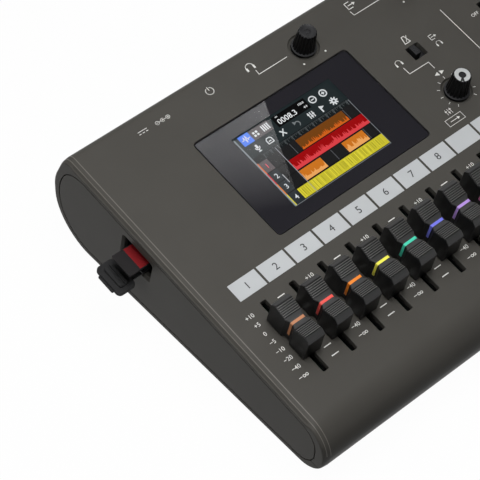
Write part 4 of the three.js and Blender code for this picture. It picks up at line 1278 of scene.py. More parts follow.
glass_material, glass_tree, glass_place = material_of("screen_glass")
smudge = clouds(glass_tree, glass_place, 45.0, 4.0)
haze = ramp(glass_tree, smudge, [(0.3, (0.985, 0.99, 0.99, 1.0)), (0.7, (1.0, 1.0, 1.0, 1.0))])
glass_shader = principled(glass_tree, Base_Color=haze, Roughness=0.0, IOR=GLASS_INDEX,
                          Transmission_Weight=1.0)
lit_by = add(glass_tree, "ShaderNodeLightPath").outputs
through = maths(glass_tree, "MAXIMUM", lit_by["Is Shadow Ray"], lit_by["Is Diffuse Ray"])
clear = add(glass_tree, "ShaderNodeBsdfTransparent").outputs[0]
shown(glass_tree, add(glass_tree, "ShaderNodeMixShader", {0: through, 1: glass_shader.outputs[0], 2: clear}))

glass_levels = [(0.0, -SHEET), (0.0, -0.1), (-0.03, -0.03), (-0.1, 0.0)]
glass_rings = rings_of(rounded_box(*GLASS, 10), glass_levels, GLASS_AT)
glass = loft("front_glass", on_panel(glass_rings), glass_material)
dress(shade(glass), "root", "glass", "screen_glass")


def glossy_print(name, colour, shine, light=None):
    """A smooth print under the glass: a faintly clouded ink, or glowing colours from a face attribute."""
    material, tree, place = material_of(name)
    slow = clouds(tree, place, 30.0, 1.0)
    inputs = {"Base_Color": clouded(tree, slow, colour, 0.97, 1.03), "Roughness": 0.0,
              "Specular_IOR_Level": shine}
    if light is not None:
        inputs["Emission_Strength"] = about(tree, slow, light, 0.05)
        inputs["Emission_Color"] = add(tree, "ShaderNodeAttribute", attribute_name="tint").outputs["Color"]
    shown(tree, principled(tree, **inputs))
    return material


border_ink = glossy_print("border_ink", (37, 36, 41), 0.42)
# painted light: the glass's rim is inked a little lighter than the border, which makes up for the shade on
# its inner wall
rim_lit_ink = grained_plastic("rim_lit_ink", (42, 41, 47), 0.5, grain=0.2, depth=0.0, specular=0.2)
lit_left, lit_low, lit_wide, lit_high = LIT
lit_at = (lit_left + lit_wide / 2, lit_low + lit_high / 2)
outer_line = rounded_box(GLASS[0] - BORDER_INSET, GLASS[1] - BORDER_INSET, GLASS[2], 6)[0] + GLASS_AT
inner_line = rounded_box(lit_wide + OPENING[0], lit_high + OPENING[1], 0.2, 6)[0] + lit_at + OPENING_SHIFT
border = on_panel(flat_ring(inner_line, outer_line, *BORDER))
dress(loft("glass_border", border, border_ink, "join"), "root", "glass")
glass.data.materials.append(rim_lit_ink)
for polygon in glass.data.polygons:  # the rim of the glass is painted too, so no light runs along inside it
    polygon.material_index = int(abs(polygon.normal @ Vector(OUTWARD)) < 0.99)
print("glass and border over", GLASS_AT)

# %% [markdown]
# ### The picture
# The page shows a bar of signs, a counter, a ruler and four lanes of sound. Sound is drawn as a jagged
# outline, with heights from a seeded random series, so it is the same each time. Plates are listed from
# back to front, each a hair above the last, and every face keeps its colour in an attribute that one
# glowing material reads.

# %% Plates of light
PLATE_STEP = 0.0009  # how far a plate's top is above the last one's
PICTURE_FOOT = -2.7  # underside of the first plate, which backs the others
PICTURE_GLOW = 0.95
DARK, LANE, LINE, PALE = (34, 42, 44), (29, 29, 30), (12, 12, 12), (214, 218, 220)
RULER, CARD_GREY, TILE, ACTIVE, BLACK = (24, 28, 29), (40, 46, 50), (88, 82, 84), (86, 132, 240), (6, 6, 7)
LANES = ((17.6, (232, 110, 30)), (11.9, (214, 30, 40)), (6.15, (236, 130, 38)), (0.4, (226, 216, 60)))
ORANGE, PEACH, YELLOW = (208, 118, 32), (242, 170, 96), (204, 194, 46)
PARTINGS = ((16.3, 17.6), (44.2, 17.6), (27.6, 6.2), (44.6, 6.2))  # lines between the blocks of a lane
painted = []


def paint(outlines, colour):
    """Adds filled outlines, in millimetres from the lower left corner of the lit area, in one colour."""
    painted.extend((outline, colour) for outline in outlines)


def blocks(colour, *boxes):
    """Adds upright rectangles (left, low, wide, high) in one colour."""
    paint([rectangle(*box) for box in boxes], colour)


def sound(left, low, wide, high, fill, wave, seed, calm=0.25, step=0.28):
    """A block with a jagged wave rising from its foot: height = calm + spikes of a seeded random series."""
    random = np.random.default_rng(seed)
    count = int(wide / step)
    x = np.linspace(left, left + wide, count)
    swell = 0.55 + 0.45 * np.sin(np.linspace(0, 5 * np.pi, count) + seed) ** 2
    spikes = random.random(count) ** 3 * swell
    heights = high * np.clip(calm + 0.62 * spikes, 0, 0.95)
    blocks(fill, (left, low, wide, high))
    paint([[(left, low), *zip(x, low + heights), (left + wide, low)]], wave)


blocks(DARK, (-1.5, -0.5, lit_wide + 2.4, lit_high + 1.0))
blocks(LANE, (0.0, 0.0, lit_wide, 23.2))
blocks(RULER, (0.0, 23.2, lit_wide, 2.6))
for k in range(100):
    bar = k % 8 == 0
    high = 2.2 if bar else (0.5, 0.9, 0.5, 1.7)[k % 4]
    blocks((118, 124, 126) if bar else (84, 90, 92), (5.0 + 0.45 * k, 25.4 - high, 0.12, high))
for low, tint in LANES:
    blocks(CARD_GREY, (0.5, low, 4.2, 5.3))
    blocks(tint, (0.0, low - 0.25, 0.42, 5.75))
blocks((92, 84, 86), (0.5, 17.6, 4.2, 5.3))
sound(19.3, 17.7, 24.3, 5.1, (118, 66, 18), (212, 98, 26), 3, 0.12)
sound(11.0, 12.0, 38.3, 5.2, (158, 6, 10), (224, 66, 72), 5)
sound(11.0, 6.25, 11.0, 5.0, ORANGE, PEACH, 8)
sound(33.2, 6.25, 10.8, 5.0, ORANGE, PEACH, 9)
blocks(YELLOW, (5.0, 0.5, 44.4, 5.0))
for k, share in enumerate(np.random.default_rng(4).random(88)):
    tone = 150 + 90 * share
    blocks((tone, tone * 0.95, 40 + 30 * share),
           (5.1 + 0.5 * k, 0.6 + 1.2 * (1 - share), 0.24, 4.6 - 1.8 * (1 - share)))
blocks((96, 98, 102), *((x, low, 0.12, 5.2) for x, low in PARTINGS))
blocks(LINE, *((0.4, low - 0.22, lit_wide - 0.4, 0.16) for low, _ in LANES[:3]))
blocks((150, 152, 158), (10.62, 0.0, 0.2, 24.8))
blocks((176, 178, 182), (4.75, 9.6, 0.28, 4.2))
blocks((136, 146, 150), (-0.55, 0.0, 0.5, 36.4))
blocks((128, 132, 138), (0.0, -0.05, lit_wide, 0.14), (lit_wide - 0.14, 0.0, 0.14, 25.0))
print(len(painted), "plates of the ruler and the lanes")

# %% The bar of signs
SIGN_WAVE = [(2.2, 34.2), (3.0, 34.2), (3.4, 35.4), (3.9, 32.9), (4.4, 35.9), (4.8, 33.6), (5.1, 34.2),
             (5.9, 34.2)]
FOLDER = [(10.0, 27.4), (12.6, 27.4), (12.6, 29.2), (12.0, 29.9), (10.6, 29.9), (10.0, 29.2), (10.0, 27.4)]
WHEEL_AT, TEETH = (44.3, 28.0), 8
DIM = (120, 126, 128)

blocks(ACTIVE, (1.5, 31.8, 5.0, 4.9))
paint(stroke(SIGN_WAVE, 0.28), PALE)
blocks(TILE, (6.6, 31.8, 4.8, 4.9), (11.4, 31.8, 4.8, 4.9))
blocks(PALE, *((x, y, 0.95, 0.95) for x in (7.7, 9.1) for y in (32.9, 34.3)))
blocks(PALE, *((12.2 + 0.95 * k, 32.8, 0.55, 2.9) for k in range(4)))
blocks(BLACK, (18.4, 31.0, 16.7, 5.2))
for x in (37.8, 43.3):
    paint(stroke(bow(x, 33.4, 1.5, 0, 360, 17), 0.42), PALE)
    blocks(PALE, (x - 0.7, 33.22, 1.4, 0.36))
blocks(PALE, (43.12, 32.7, 0.36, 1.4), (4.75, 28.5, 0.9, 1.7))
paint(stroke(bow(5.2, 28.9, 1.05, 180, 360, 7), 0.26), PALE)
blocks(PALE, (5.07, 26.9, 0.26, 1.0), (4.5, 26.8, 1.4, 0.26))
paint(stroke(FOLDER, 0.3), PALE)
blocks(PALE, (10.7, 28.2, 1.2, 0.34))
paint(stroke([(17.0, 27.2), (18.9, 29.6)], 0.42) + stroke([(17.2, 29.4), (18.9, 27.3)], 0.42), PALE)
paint(stroke(bow(25.3, 28.1, 1.15, -60, 150, 10), 0.3) + [[(23.9, 29.9), (24.0, 28.3), (25.2, 29.0)]], DIM)
for k, knob_height in enumerate((1.9, 0.6, 1.4)):
    blocks(PALE, (31.4 + 1.05 * k, 26.7, 0.3, 2.9), (31.15 + 1.05 * k, 26.6 + knob_height, 0.8, 0.6))
paint([[(37.4, 29.5), (39.4, 28.6), (37.9, 27.9), (37.9, 26.4), (37.4, 26.4)]], PALE)
teeth = [stroke([WHEEL_AT + 0.9 * spoke, WHEEL_AT + 1.6 * spoke], 0.5)
         for spoke in spokes(round_about(TEETH))]
paint([disc(*WHEEL_AT, 1.15)] + sum(teeth, []), PALE)
paint([disc(*WHEEL_AT, 0.45)], DARK)
print(len(painted), "plates in the picture")

# %% The picture's mesh and its glow
def tinted(made, colours):
    """Gives every face corner its colour: one colour for each face, repeated for its corners."""
    corners = np.empty(len(made.data.polygons), np.int32)
    made.data.polygons.foreach_get("loop_total", corners)
    tint = made.data.color_attributes.new("tint", "FLOAT_COLOR", "CORNER")
    tint.data.foreach_set("color", np.repeat(np.asarray(colours, np.float32), corners, axis=0).ravel())
    return made


points, faces, tints, first = [], [], [], 0
for k, (outline, colour) in enumerate(painted):
    top = PICTURE_LEVEL + PLATE_STEP * (k + 1)
    rings = plate(outline, PICTURE_LEVEL if k else PICTURE_FOOT, top) + (lit_left, lit_low, 0.0)
    added = grid_faces(2, rings.shape[1], first=first)
    points.append(rings.reshape(-1, 3))
    faces += added
    tints += [linear(*colour)] * len(added)
    first += 2 * rings.shape[1]
picture_mesh = bpy.data.meshes.new("screen_picture")
picture_mesh.from_pydata(on_panel(np.concatenate(points)).tolist(), [], faces)
picture = bpy.data.objects.new("screen_picture", picture_mesh)
bpy.context.scene.collection.objects.link(picture)
page_glow = glossy_print("page_glow", (0, 0, 0), 0.42, PICTURE_GLOW)
picture_mesh.materials.append(page_glow)
dress(tinted(picture, tints), "root", "display")
print("picture of", len(faces), "faces, top plate at", round(top, 3), "mm")

# %% Figures on the picture
COUNTER = [("0008.3", 24.0, 32.9, 3.5), ("120.0", 32.6, 34.6, 1.35), ("4/4", 33.2, 32.4, 1.35),
           ("001", 20.4, 35.4, 0.9)]
LANE_FIGURES = [("1", 2.6, 20.2, 3.2), ("2", 2.6, 14.5, 3.2), ("3", 2.6, 8.8, 3.2), ("4", 2.6, 3.0, 3.2)]
for name, lines, colour in (("counter_figures", COUNTER, (240, 242, 244)),
                            ("lane_one_figure", LANE_FIGURES[:1], (236, 96, 110)),
                            ("lane_figures", LANE_FIGURES[1:], (224, 228, 232))):
    placed_lines = [(text, lit_left + x, lit_low + y, size) for text, x, y, size in lines]
    made = written(name, placed_lines, top + 0.01, 0.04, page_glow)
    dress(tinted(made, [linear(*colour)] * len(made.data.polygons)), "root", "display")
print("figures", len(COUNTER) + len(LANE_FIGURES))

# %% [markdown]
# ## Printing on the panel
# The panel is printed in two inks: a light grey for the fields where track names are written, and white for
# the scales, the lines and the signs. Only plain numbers, ON and OFF and general signs are printed here.

# %% Inks
INK_THICK = 0.03

PRINT = {"grain": 0.4, "specular": 0.3}
field_ink = grained_plastic("field_ink", (193, 196, 198), 0.5, depth=0.006, clouding=0.015, **PRINT)
white_ink = grained_plastic("white_ink", (226, 226, 222), 0.5, depth=0.004, clouding=0.02, **PRINT)
dark_ink = grained_plastic("dark_ink", (62, 62, 64), 0.5, depth=0.004, clouding=0.02, **PRINT)
print("inks", field_ink.name, white_ink.name, dark_ink.name)

# %% Fields and scales
FIELD = (13.0, 7.9)
FIELD_LOW = 50.8
FIELD_LEFT = -6.72  # from a fader to the left edge of its field
SCALE = (("+10", 44.0), ("+5", 39.8), ("0", 35.4), ("−5", 31.2), ("−10", 27.0), ("−20", 22.7), ("−40", 18.3),
         ("−∞", 14.0))
FIRST_FADER, FADER_PITCH = 17.2, 14.0
SCALE_AT = [8.9] + [FIRST_FADER + FADER_PITCH * (k + 0.5) for k in (1, 3, 5, 7)]
DASHES_AT = [FIRST_FADER + FADER_PITCH * (k + 0.5) for k in (0, 2, 4, 6, 8)]
DASH = (3.3, 0.42)
STATES = [(text, u, 96.6, 2.2) for text, u in (("OFF", 176.2), ("ON", 190.6), ("OFF", 208.8), ("ON", 223.4))]

fields = [plate(rectangle(fader_at[i][0] + FIELD_LEFT, FIELD_LOW, *FIELD), 0.0, INK_THICK) for i in FADERS]
dress(several("name_fields", [on_panel(rings) for rings in fields], field_ink), "root", "case")
field_lines = [(str(i), fader_at[i][0] + FIELD_LEFT + FIELD[0] / 2, FIELD_LOW + FIELD[1] / 2, 4.5)
               for i in FADERS[:8]]
dress(written("field_figures", field_lines, INK_THICK, INK_THICK, dark_ink), "root", "case")
scale_lines = [(text, u, v, 3.0 if "∞" in text else 2.5) for u in SCALE_AT for text, v in SCALE]
scale_lines += STATES
dress(written("scale_figures", scale_lines, 0.0, INK_THICK, white_ink), "root", "case")
print(len(fields), "fields,", len(scale_lines), "lines of figures")

# %% Lines and signs
THIN, FINE = 0.3, 0.22
white_marks = [rectangle(u - DASH[0] / 2, v - DASH[1] / 2, *DASH) for u in DASHES_AT for _, v in SCALE]

headphones = stroke(bow(0, -0.2, 1.55, 10, 170, 14), THIN) + [
    rectangle(-1.85, -1.5, 0.75, 1.4), rectangle(1.1, -1.5, 0.75, 1.4)]
way_out = stroke([(0.3, 1.4), (-1.7, 1.4), (-1.7, -1.4), (0.3, -1.4)], THIN)
way_out += stroke([(-0.9, 0), (1.3, 0)], THIN) + [[(1.1, 0.75), (2.2, 0.0), (1.1, -0.75)]]
power = stroke(bow(0, -0.1, 1.45, 120, 420, 20), THIN) + stroke([(0, 0.3), (0, 1.6)], THIN)
direct = stroke([(-2.0, 0.7), (2.0, 0.7)], THIN)
for x in (-1.65, 0.0, 1.65):
    direct += stroke([(x - 0.35, -0.4), (x + 0.35, -0.4)], THIN)
polarity = stroke(bow(-2.6, 0, 0.8, 0, 360, 17), FINE) + stroke([(-3.0, 0), (-2.2, 0)], FINE)
polarity += stroke(bow(0, 0, 0.8, 40, 320, 14), FINE) + [disc(0, 0, 0.35)]
polarity += stroke([(-1.8, 0), (-0.9, 0)], FINE)
polarity += stroke(bow(2.6, 0, 0.8, 0, 360, 17), FINE) + stroke([(2.2, 0), (3.0, 0)], FINE)
polarity += stroke([(2.6, -0.4), (2.6, 0.4)], FINE) + stroke([(0.3, 0), (1.8, 0)], FINE)
metronome = stroke([(-1.3, -1.5), (-0.55, 1.6), (0.55, 1.6), (1.3, -1.5), (-1.3, -1.5)], THIN)
metronome += stroke([(0.0, -0.9), (1.5, 1.3)], FINE)
wedges = [[(-0.5, 1.0), (-0.5, -1.0), (-2.6, 0.0)], [(0.5, 1.0), (2.6, 0.0), (0.5, -1.0)]]
faders_sign = sum((stroke([(x, -1.3), (x, 1.3)], FINE) for x in (-1.2, 0.0, 1.2)), [])
faders_sign += [rectangle(x - 0.45, y, 0.9, 0.5) for x, y in ((-1.2, 0.2), (0.0, -0.8), (1.2, 0.5))]
boxed = stroke([(-4.4, 1.7), (4.4, 1.7), (4.4, -1.7), (-4.4, -1.7), (-4.4, 1.7)], FINE)
boxed += stroke([(-2.4, 0), (1.6, 0)], THIN) + [[(1.4, 0.8), (2.6, 0.0), (1.4, -0.8)]]
plug_in = stroke([(-2.2, 0), (-0.7, 0)], THIN) + [rectangle(-0.8, -0.9, 1.9, 1.8)]
plug_in += stroke([(1.1, 0), (2.4, 0)], FINE)
SIGNS = ((direct, 29.0, 130.0, 1.0), (polarity, 38.6, 130.0, 1.0), (power, 62.3, 130.0, 1.15),
         (headphones, 82.7, 129.8, 1.15), (way_out, 136.7, 129.8, 1.15), (metronome, 143.2, 103.6, 1.1),
         (headphones, 132.9, 96.6, 0.95), (way_out, 153.6, 98.4, 0.85), (headphones, 153.6, 94.6, 0.8),
         (wedges, 143.3, 83.5, 0.95), (faders_sign, 133.3, 67.6, 0.95), (boxed, 132.9, 63.4, 0.95),
         (plug_in, 177.6, 118.6, 1.0), (plug_in, 210.6, 118.6, 1.0))
for outlines, u, v, scale in SIGNS:
    white_marks += moved(outlines, u, v, scale)

PATHS = [
    [(83.7, 127.0), (83.5, 124.85), (98.1, 124.9)],
    [(134.4, 127.0), (134.6, 124.85), (153.0, 124.9)],
    [(133.0, 93.6), (133.1, 90.1), (143.4, 90.0), (143.4, 86.5)],
    [(165.7, 106.4), (165.7, 62.0)],
]
for path in PATHS:
    white_marks += stroke(path, THIN)
DOTS_AT = [knob_at[name][:2] + (side, -6.6) for name in KNOBS if name != "balance" for side in (-5.6, 5.8)]
white_marks += [disc(u, v, 0.42) for u, v in DOTS_AT]
TICKS, TICK_PITCH, TICK_RADIUS = 11, 28.3, (7.0, 8.0)
for k in range(TICKS):
    heading = spokes(math.radians(90 + TICK_PITCH * (k - (TICKS - 1) / 2)))
    white_marks += stroke([knob_at["balance"][:2] + radius * heading for radius in TICK_RADIUS], FINE)
white_print = [on_panel(plate(outline, 0.0, INK_THICK)) for outline in white_marks]
dress(several("white_print", white_print, white_ink), "root", "case")
print(len(white_print), "white marks")

# %% Signs on the keys
KEY_SIGNS = {  # outlines about the middle of a key
    "return": [rectangle(-2.0, -1.3, 0.55, 2.6), [(1.8, 1.3), (-1.2, 0.0), (1.8, -1.3)]],
    "rewind": [[(0.0, 1.2), (-2.2, 0.0), (0.0, -1.2)], [(2.2, 1.2), (0.0, 0.0), (2.2, -1.2)]],
    "forward": [[(-2.2, 1.2), (0.0, 0.0), (-2.2, -1.2)], [(0.0, 1.2), (2.2, 0.0), (0.0, -1.2)]],
    "stop": [rectangle(-1.5, -1.5, 3.0, 3.0)],
    "play": [[(-1.4, 1.7), (1.8, 0.0), (-1.4, -1.7)]],
    "record": [disc(0.0, 0.0, 1.6, 32)],
}

record_ink = grained_plastic("record_ink", (206, 44, 42), 0.5, grain=0.4, depth=0.004, clouding=0.02)
for name, outlines in KEY_SIGNS.items():
    ink = record_ink if name == "record" else white_ink
    at = foot_of(key_at[name])
    rings = [on_panel(plate(outline, KEY_TOP, KEY_TOP + INK_THICK) + at) for outline in outlines]
    dress(several(f"{name}_sign", rings, ink), f"{name}_key", "key")
print("signs on", len(KEYS), "keys")

# %% [markdown]
# ## Memory card and the cover of its slot
# The card stands part of the way out of its slot. Its label has a red band and is bare otherwise. The cover
# is rubber: a plate that fits the slot, a plug that grips inside it, a strap that bends, and a tab for the
# finger. Strap, plate and tab are moulded as one, so their solids are joined.

# %% Memory card
CARD_LEVEL = -10.0
CARD_THICK = 0.7
CARD_V = 92.5
CARD = (15.0, 11.0, 0.7)
CARD_LEFT = -11.3
RED_FROM = 5.4  # distance of the red band from the card's outer edge

card_middle = (CARD_LEFT + CARD[0] / 2, CARD_V, CARD_LEVEL)
half_thick = CARD_THICK / 2
card_levels = [(-0.12, -half_thick), (0.0, -half_thick + 0.12), (0.0, half_thick - 0.1), (-0.1, half_thick)]
card_plastic = grained_plastic("card_plastic", (34, 32, 33), 0.5, grain=0.25, depth=0.004, specular=0.1)
red_label = grained_plastic("red_label", (126, 24, 29), 0.5, grain=0.3, depth=0.002, clouding=0.03,
                            specular=0.1)
contact_metal = grained_plastic("contact_metal", (176, 148, 92), 0.3, grain=0.3, depth=0.002)
card = loft("card_body", on_panel(rings_of(rounded_box(*CARD), card_levels) + card_middle), card_plastic)
dress(shade(card), "memory_card", "card", "memory_card")
red = rectangle(CARD_LEFT + RED_FROM, CARD_V - 5.1, 7.0, 10.2)
card_top, card_foot = CARD_LEVEL + half_thick, CARD_LEVEL - half_thick
label = loft("card_label", on_panel(plate(red, card_top, card_top + 0.02)), red_label)
dress(label, "memory_card", "card")
pads = [plate(rectangle(CARD_LEFT + 11.6, CARD_V - 4.3 + 1.1 * k, 2.6, 0.8), card_foot - 0.02, card_foot)
        for k in range(8)]
dress(several("card_contacts", [on_panel(rings) for rings in pads], contact_metal), "memory_card", "metal")
print("card over u", CARD_LEFT, "to", CARD_LEFT + CARD[0])

# %% Slot cover
cover_low, cover_high = (PANEL @ (np.array(corner) - CORNER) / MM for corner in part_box("card_slot_cover"))
HINGE_U, HINGE_V = -3.55, 93.1
STRAP_LEVEL = -17.7
PLATE_IN, PLATE_LONG, PLATE_WIDE = -4.4, 8.6, 14.7  # inner edge from the hinge, then length and width
PLATE_FOOT, PLATE_THICK, PLUG_RISE = -0.6, 1.8, 0.9
TAB = (8.6, 3.0, 1.0)  # width, length and thickness
GROOVE = (1.1, 11.0, 0.5)


def on_hinge(rings):
    """Rings drawn as (along the strap, v, level) from the bend of the cover, in the row frame."""
    return on_panel(np.asarray(rings) + (HINGE_U, HINGE_V, STRAP_LEVEL))


plate_middle = (PLATE_IN - PLATE_LONG / 2, 0.0)
plate_top = PLATE_FOOT + PLATE_THICK
plug_top = plate_top + PLUG_RISE
soft_edge = [(-0.25, PLATE_FOOT), (-0.07, PLATE_FOOT + 0.07), (0.0, PLATE_FOOT + 0.25),
             (0.0, plate_top - 0.3), (-0.09, plate_top - 0.09), (-0.3, plate_top)]
plug_edge = [(0.0, plate_top - 0.5), (0.0, plug_top - 0.3), (-0.3, plug_top)]
groove_edge = [(0.0, plug_top - GROOVE[2]), (0.25, plug_top + PAST)]
strap_half = 0.4
tab_foot, tab_top = PLATE_FOOT + 0.02, PLATE_FOOT + TAB[2]
tab_edge = [(-0.15, tab_foot), (0.0, tab_foot + 0.15), (0.0, tab_top - 0.2), (-0.2, tab_top)]
tab_middle = (PLATE_IN - PLATE_LONG - 0.85 + TAB[1] / 2, 0.0)
cover_rings = rings_of(rounded_box(PLATE_LONG, PLATE_WIDE, 2.0, 8), soft_edge, plate_middle)
cover = loft("slot_cover", on_hinge(cover_rings))
carve(cover, [
    loft("plug", on_hinge(rings_of(rounded_box(4.2, 10.3, 1.0), plug_edge, plate_middle))),
    loft("strap", on_hinge(box_rings((PLATE_IN - 2.0, -4.5, -strap_half), (0.0, 4.5, strap_half)))),
    loft("bead", on_hinge(turned([(strap_half, -4.5), (strap_half, 4.5)], 24)[..., [0, 2, 1]])),
    loft("tab", on_hinge(rings_of(rounded_box(TAB[1], TAB[0], 0.5), tab_edge, tab_middle))),
], "UNION")
groove_rings = rings_of(rounded_box(*GROOVE[:2], 0.5), groove_edge, plate_middle)
carve(cover, [loft("groove", on_hinge(groove_rings))])
dress(shade(coat(cover, soft_rubber)), "card_slot_cover", "rubber", "card_slot_cover")
print("slot cover from u", cover_low[0].round(2), "to", cover_high[0].round(2))

# %% [markdown]
# ## Sockets along the back
# Behind the wall each socket is a block, and a round bush comes through the wall. The bush has a rounded
# rim and a plated ring inside, and the hole runs down its middle. The wide sockets also take a three-pin
# plug.

# %% Sockets
socket_plastic = grained_plastic("socket_plastic", (20, 20, 20), 0.4, grain=0.3, depth=0.01)


def plated(name, colour, roughness, streak=400.0):
    """Metal with fine streaks: its colour and roughness follow a noise drawn out along one axis."""
    material, tree, place = material_of(name)
    drawn = add(tree, "ShaderNodeMapping", {"Vector": place, "Scale": (streak, streak, 12 * streak)})
    streaks = clouds(tree, drawn.outputs["Vector"], 1.0, 2.0)
    shown(tree, principled(tree, Base_Color=clouded(tree, streaks, colour, 0.94, 1.04), Metallic=1.0,
                           Roughness=about(tree, streaks, roughness, 0.08)))
    return material


steel = plated("steel", (186, 188, 190), 0.3)
HOLE_RADIUS = 3.3
BUSHES = {**{name: (15.0, 14.0, 25.0, 5.4, 1.8, 22.0) for name in JACKS},
          **{name: (23.0, 17.0, 24.0, 10.6, 0.4, 20.0) for name in INPUTS}}
PIN_RADIUS, PIN_CIRCLE, PIN_DEPTH = 1.5, 7.0, 9.0
PIN_ANGLES = np.radians((-30.0, 90.0, 210.0))


def out_of(rings, node):
    """Rings drawn as (x, up, out) about a socket's axis, in the row frame."""
    return in_case(at_back(np.asarray(rings) + (middle_x(node), 0, 0)))


for node, (wide, high, deep, bush, proud, hole) in BUSHES.items():
    front = -WALL - SEAT
    block = rings_of(rounded_box(wide, high, 0.8), [(0.0, front - deep), (0.0, front - 0.4), (-0.4, front)])
    rim = [(bush, front - 1.0), (bush, proud - 0.35), (bush - 0.1, proud - 0.1), (bush - 0.35, proud)]
    bore = [(HOLE_RADIUS, proud - hole), (HOLE_RADIUS, proud - 0.3), (HOLE_RADIUS + 0.3, proud),
            (HOLE_RADIUS + 0.4, proud + PAST)]
    socket = loft(f"{node}_body", out_of(block, node))
    carve(socket, [loft("bush", out_of(turned(rim, 72), node))], "UNION")
    cutters = [out_of(turned(bore), node)]
    if node in INPUTS:
        pin = turned([(PIN_RADIUS, proud - PIN_DEPTH), (PIN_RADIUS, proud + PAST)], 24)
        cutters += [out_of(pin + (*(PIN_CIRCLE * spoke), 0), node) for spoke in spokes(PIN_ANGLES)]
    carve(socket, [several("bores", cutters)])
    dress(shade(coat(socket, socket_plastic)), "root", "socket", node)
    ring = [(HOLE_RADIUS + 0.55, proud - 0.05), (HOLE_RADIUS + 0.62, proud + 0.05),
            (HOLE_RADIUS + 1.2, proud + 0.05), (HOLE_RADIUS + 1.3, proud - 0.05)]
    dress(shade(loft(f"{node}_ring", out_of(turned(ring), node), steel, "join")), "root", "metal")
print("sockets", len(BUSHES))

# %% [markdown]
# ## Power at the back
# The power inlet is a pressed metal sleeve with round ends, and a thin tongue inside it. It is one closed
# surface: up the outside, over the rim and down the inside. The power switch is a ribbed lever on a plate
# behind the wall.

# %% Inlet and power switch
INLET = (9.2, 3.6, 1.75)  # width, height and corner radius
INLET_WALL, INLET_DEPTH, INLET_FLOOR = 0.5, 7.6, -6.0
TONGUE = (6.6, 0.7, 0.1)
LEVER_AT = 60.0  # where the power switch's lever rests
REAR_LEVER, REAR_PLATE, RIDGE = (4.4, 3.8, 0.3), (8.4, 8.4, 0.4), (0.4, 3.2, 0.15)
RIDGE_LEVELS = [(0.0, 0.9), (0.0, 1.12), (-0.08, 1.18)]

sleeve = rings_of(rounded_box(*INLET), [
    (0.0, -INLET_DEPTH), (0.0, -0.12), (-0.12, 0.0), (0.12 - INLET_WALL, 0.0), (-INLET_WALL, -0.12),
    (-INLET_WALL, INLET_FLOOR)], (INLET_AT, 0))
dress(shade(loft("inlet_sleeve", in_case(at_back(sleeve)), steel)), "root", "metal", "power_inlet")
tongue = rings_of(rounded_box(*TONGUE), [(0.0, INLET_FLOOR), (0.0, -1.0), (-0.08, -0.9)], (INLET_AT, 0))
dress(shade(loft("inlet_tongue", in_case(at_back(tongue)), socket_plastic)), "root", "socket")

lever = rings_of(rounded_box(*REAR_LEVER), [(0.0, -3.4), (0.0, 0.8), (-0.1, 0.95), (-0.25, 1.0)])
ridges = [rings_of(rounded_box(*RIDGE), RIDGE_LEVELS, (x, 0)) for x in (-1.2, 0, 1.2)]
foot = rings_of(rounded_box(*REAR_PLATE), [(0.0, -4.0), (0.0, -2.8)])
power_rings = [in_case(at_back(rings + (LEVER_AT, 0, 0))) for rings in (lever, *ridges, foot)]
power_lever = several("power_lever", power_rings, knob_plastic)
dress(shade(power_lever), "power_switch", "knob", "power_switch")
print("inlet at x", round(INLET_AT, 2), "and switch lever at x", LEVER_AT)

# %% [markdown]
# ## Feet, door and screws
# Four rubber feet sit in round seats. Between them the battery door closes the bay: its front edge is
# rolled, because it turns there, and its underside has a ribbed hollow for the finger. Six screws hold the
# shells together.

# %% Feet
FOOT = [(0.0, 0.5), (6.0, 0.5), (6.0, -1.9), (5.85, -2.3), (5.5, -2.5), (4.0, -2.5), (3.7, -2.35),
        (0.0, -2.3)]
for name, at in zip(FEET, feet_at):
    foot = loft(f"{name}_pad", in_case(turned(FOOT, 64) + (*at, 0.0)), soft_rubber)
    dress(shade(foot), "root", "rubber", name)
print("feet at", np.round(feet_at, 1).tolist())

# %% Battery door
DOOR_THICK = 2.0
DOOR_EDGE = 0.3
HOLLOW = (14.0, 3.0, 0.7)  # width, length and corner radius
HOLLOW_DEPTH, HOLLOW_SETBACK = 0.8, 5.0

door_arcs = [(90, 270, 12, (door_low[1] + DOOR_THICK / 2, DOOR_THICK / 2), DOOR_THICK / 2),
             (270, 360, 4, (door_high[1] - DOOR_EDGE, DOOR_EDGE), DOOR_EDGE),
             (0, 90, 4, (door_high[1] - DOOR_EDGE, DOOR_THICK - DOOR_EDGE), DOOR_EDGE)]
door_outline = np.concatenate([quarter(*arc) for arc in door_arcs])
door_normals = np.concatenate([(quarter(*arc) - arc[3]) / arc[4] for arc in door_arcs])
door_ends = [(-DOOR_EDGE, door_low[0]), (-0.09, door_low[0] + 0.09), (0.0, door_low[0] + DOOR_EDGE),
             (0.0, door_high[0] - DOOR_EDGE), (-0.09, door_high[0] - 0.09), (-DOOR_EDGE, door_high[0])]
door = loft("door_plate", in_case(along_x(door_outline, door_normals, door_ends)))
hollow_at = ((door_low[0] + door_high[0]) / 2, door_high[1] - HOLLOW_SETBACK - HOLLOW[1] / 2)
hollow = underside(rings_of(rounded_box(*HOLLOW), lip_levels(HOLLOW_DEPTH, 0.25), hollow_at))
carve(door, [loft("hollow", in_case(hollow))])
dress(shade(coat(door, case_plastic)), "battery_door", "case", "battery_door")
rib = rings_of(rounded_box(0.5, HOLLOW[1] - 0.4, 0.2), [(0.0, -HOLLOW_DEPTH), (0.0, -0.35), (-0.15, -0.2)])
ribs = [in_case(underside(rib + (hollow_at[0] + x, hollow_at[1], 0))) for x in np.arange(-5.0, 5.1, 2.0)]
dress(shade(several("door_ribs", ribs, case_plastic)), "battery_door", "case")
print("door", np.round(door_high - door_low, 2), "mm")

# %% Screws
HEAD = [(0.0, -SCREW_DEPTH), (SCREW_HEAD, -SCREW_DEPTH), (SCREW_HEAD, -0.95), (2.4, -0.65), (1.9, -0.5),
        (0.0, -0.45)]
CROSS = (0.6, 2.7, 0.15)

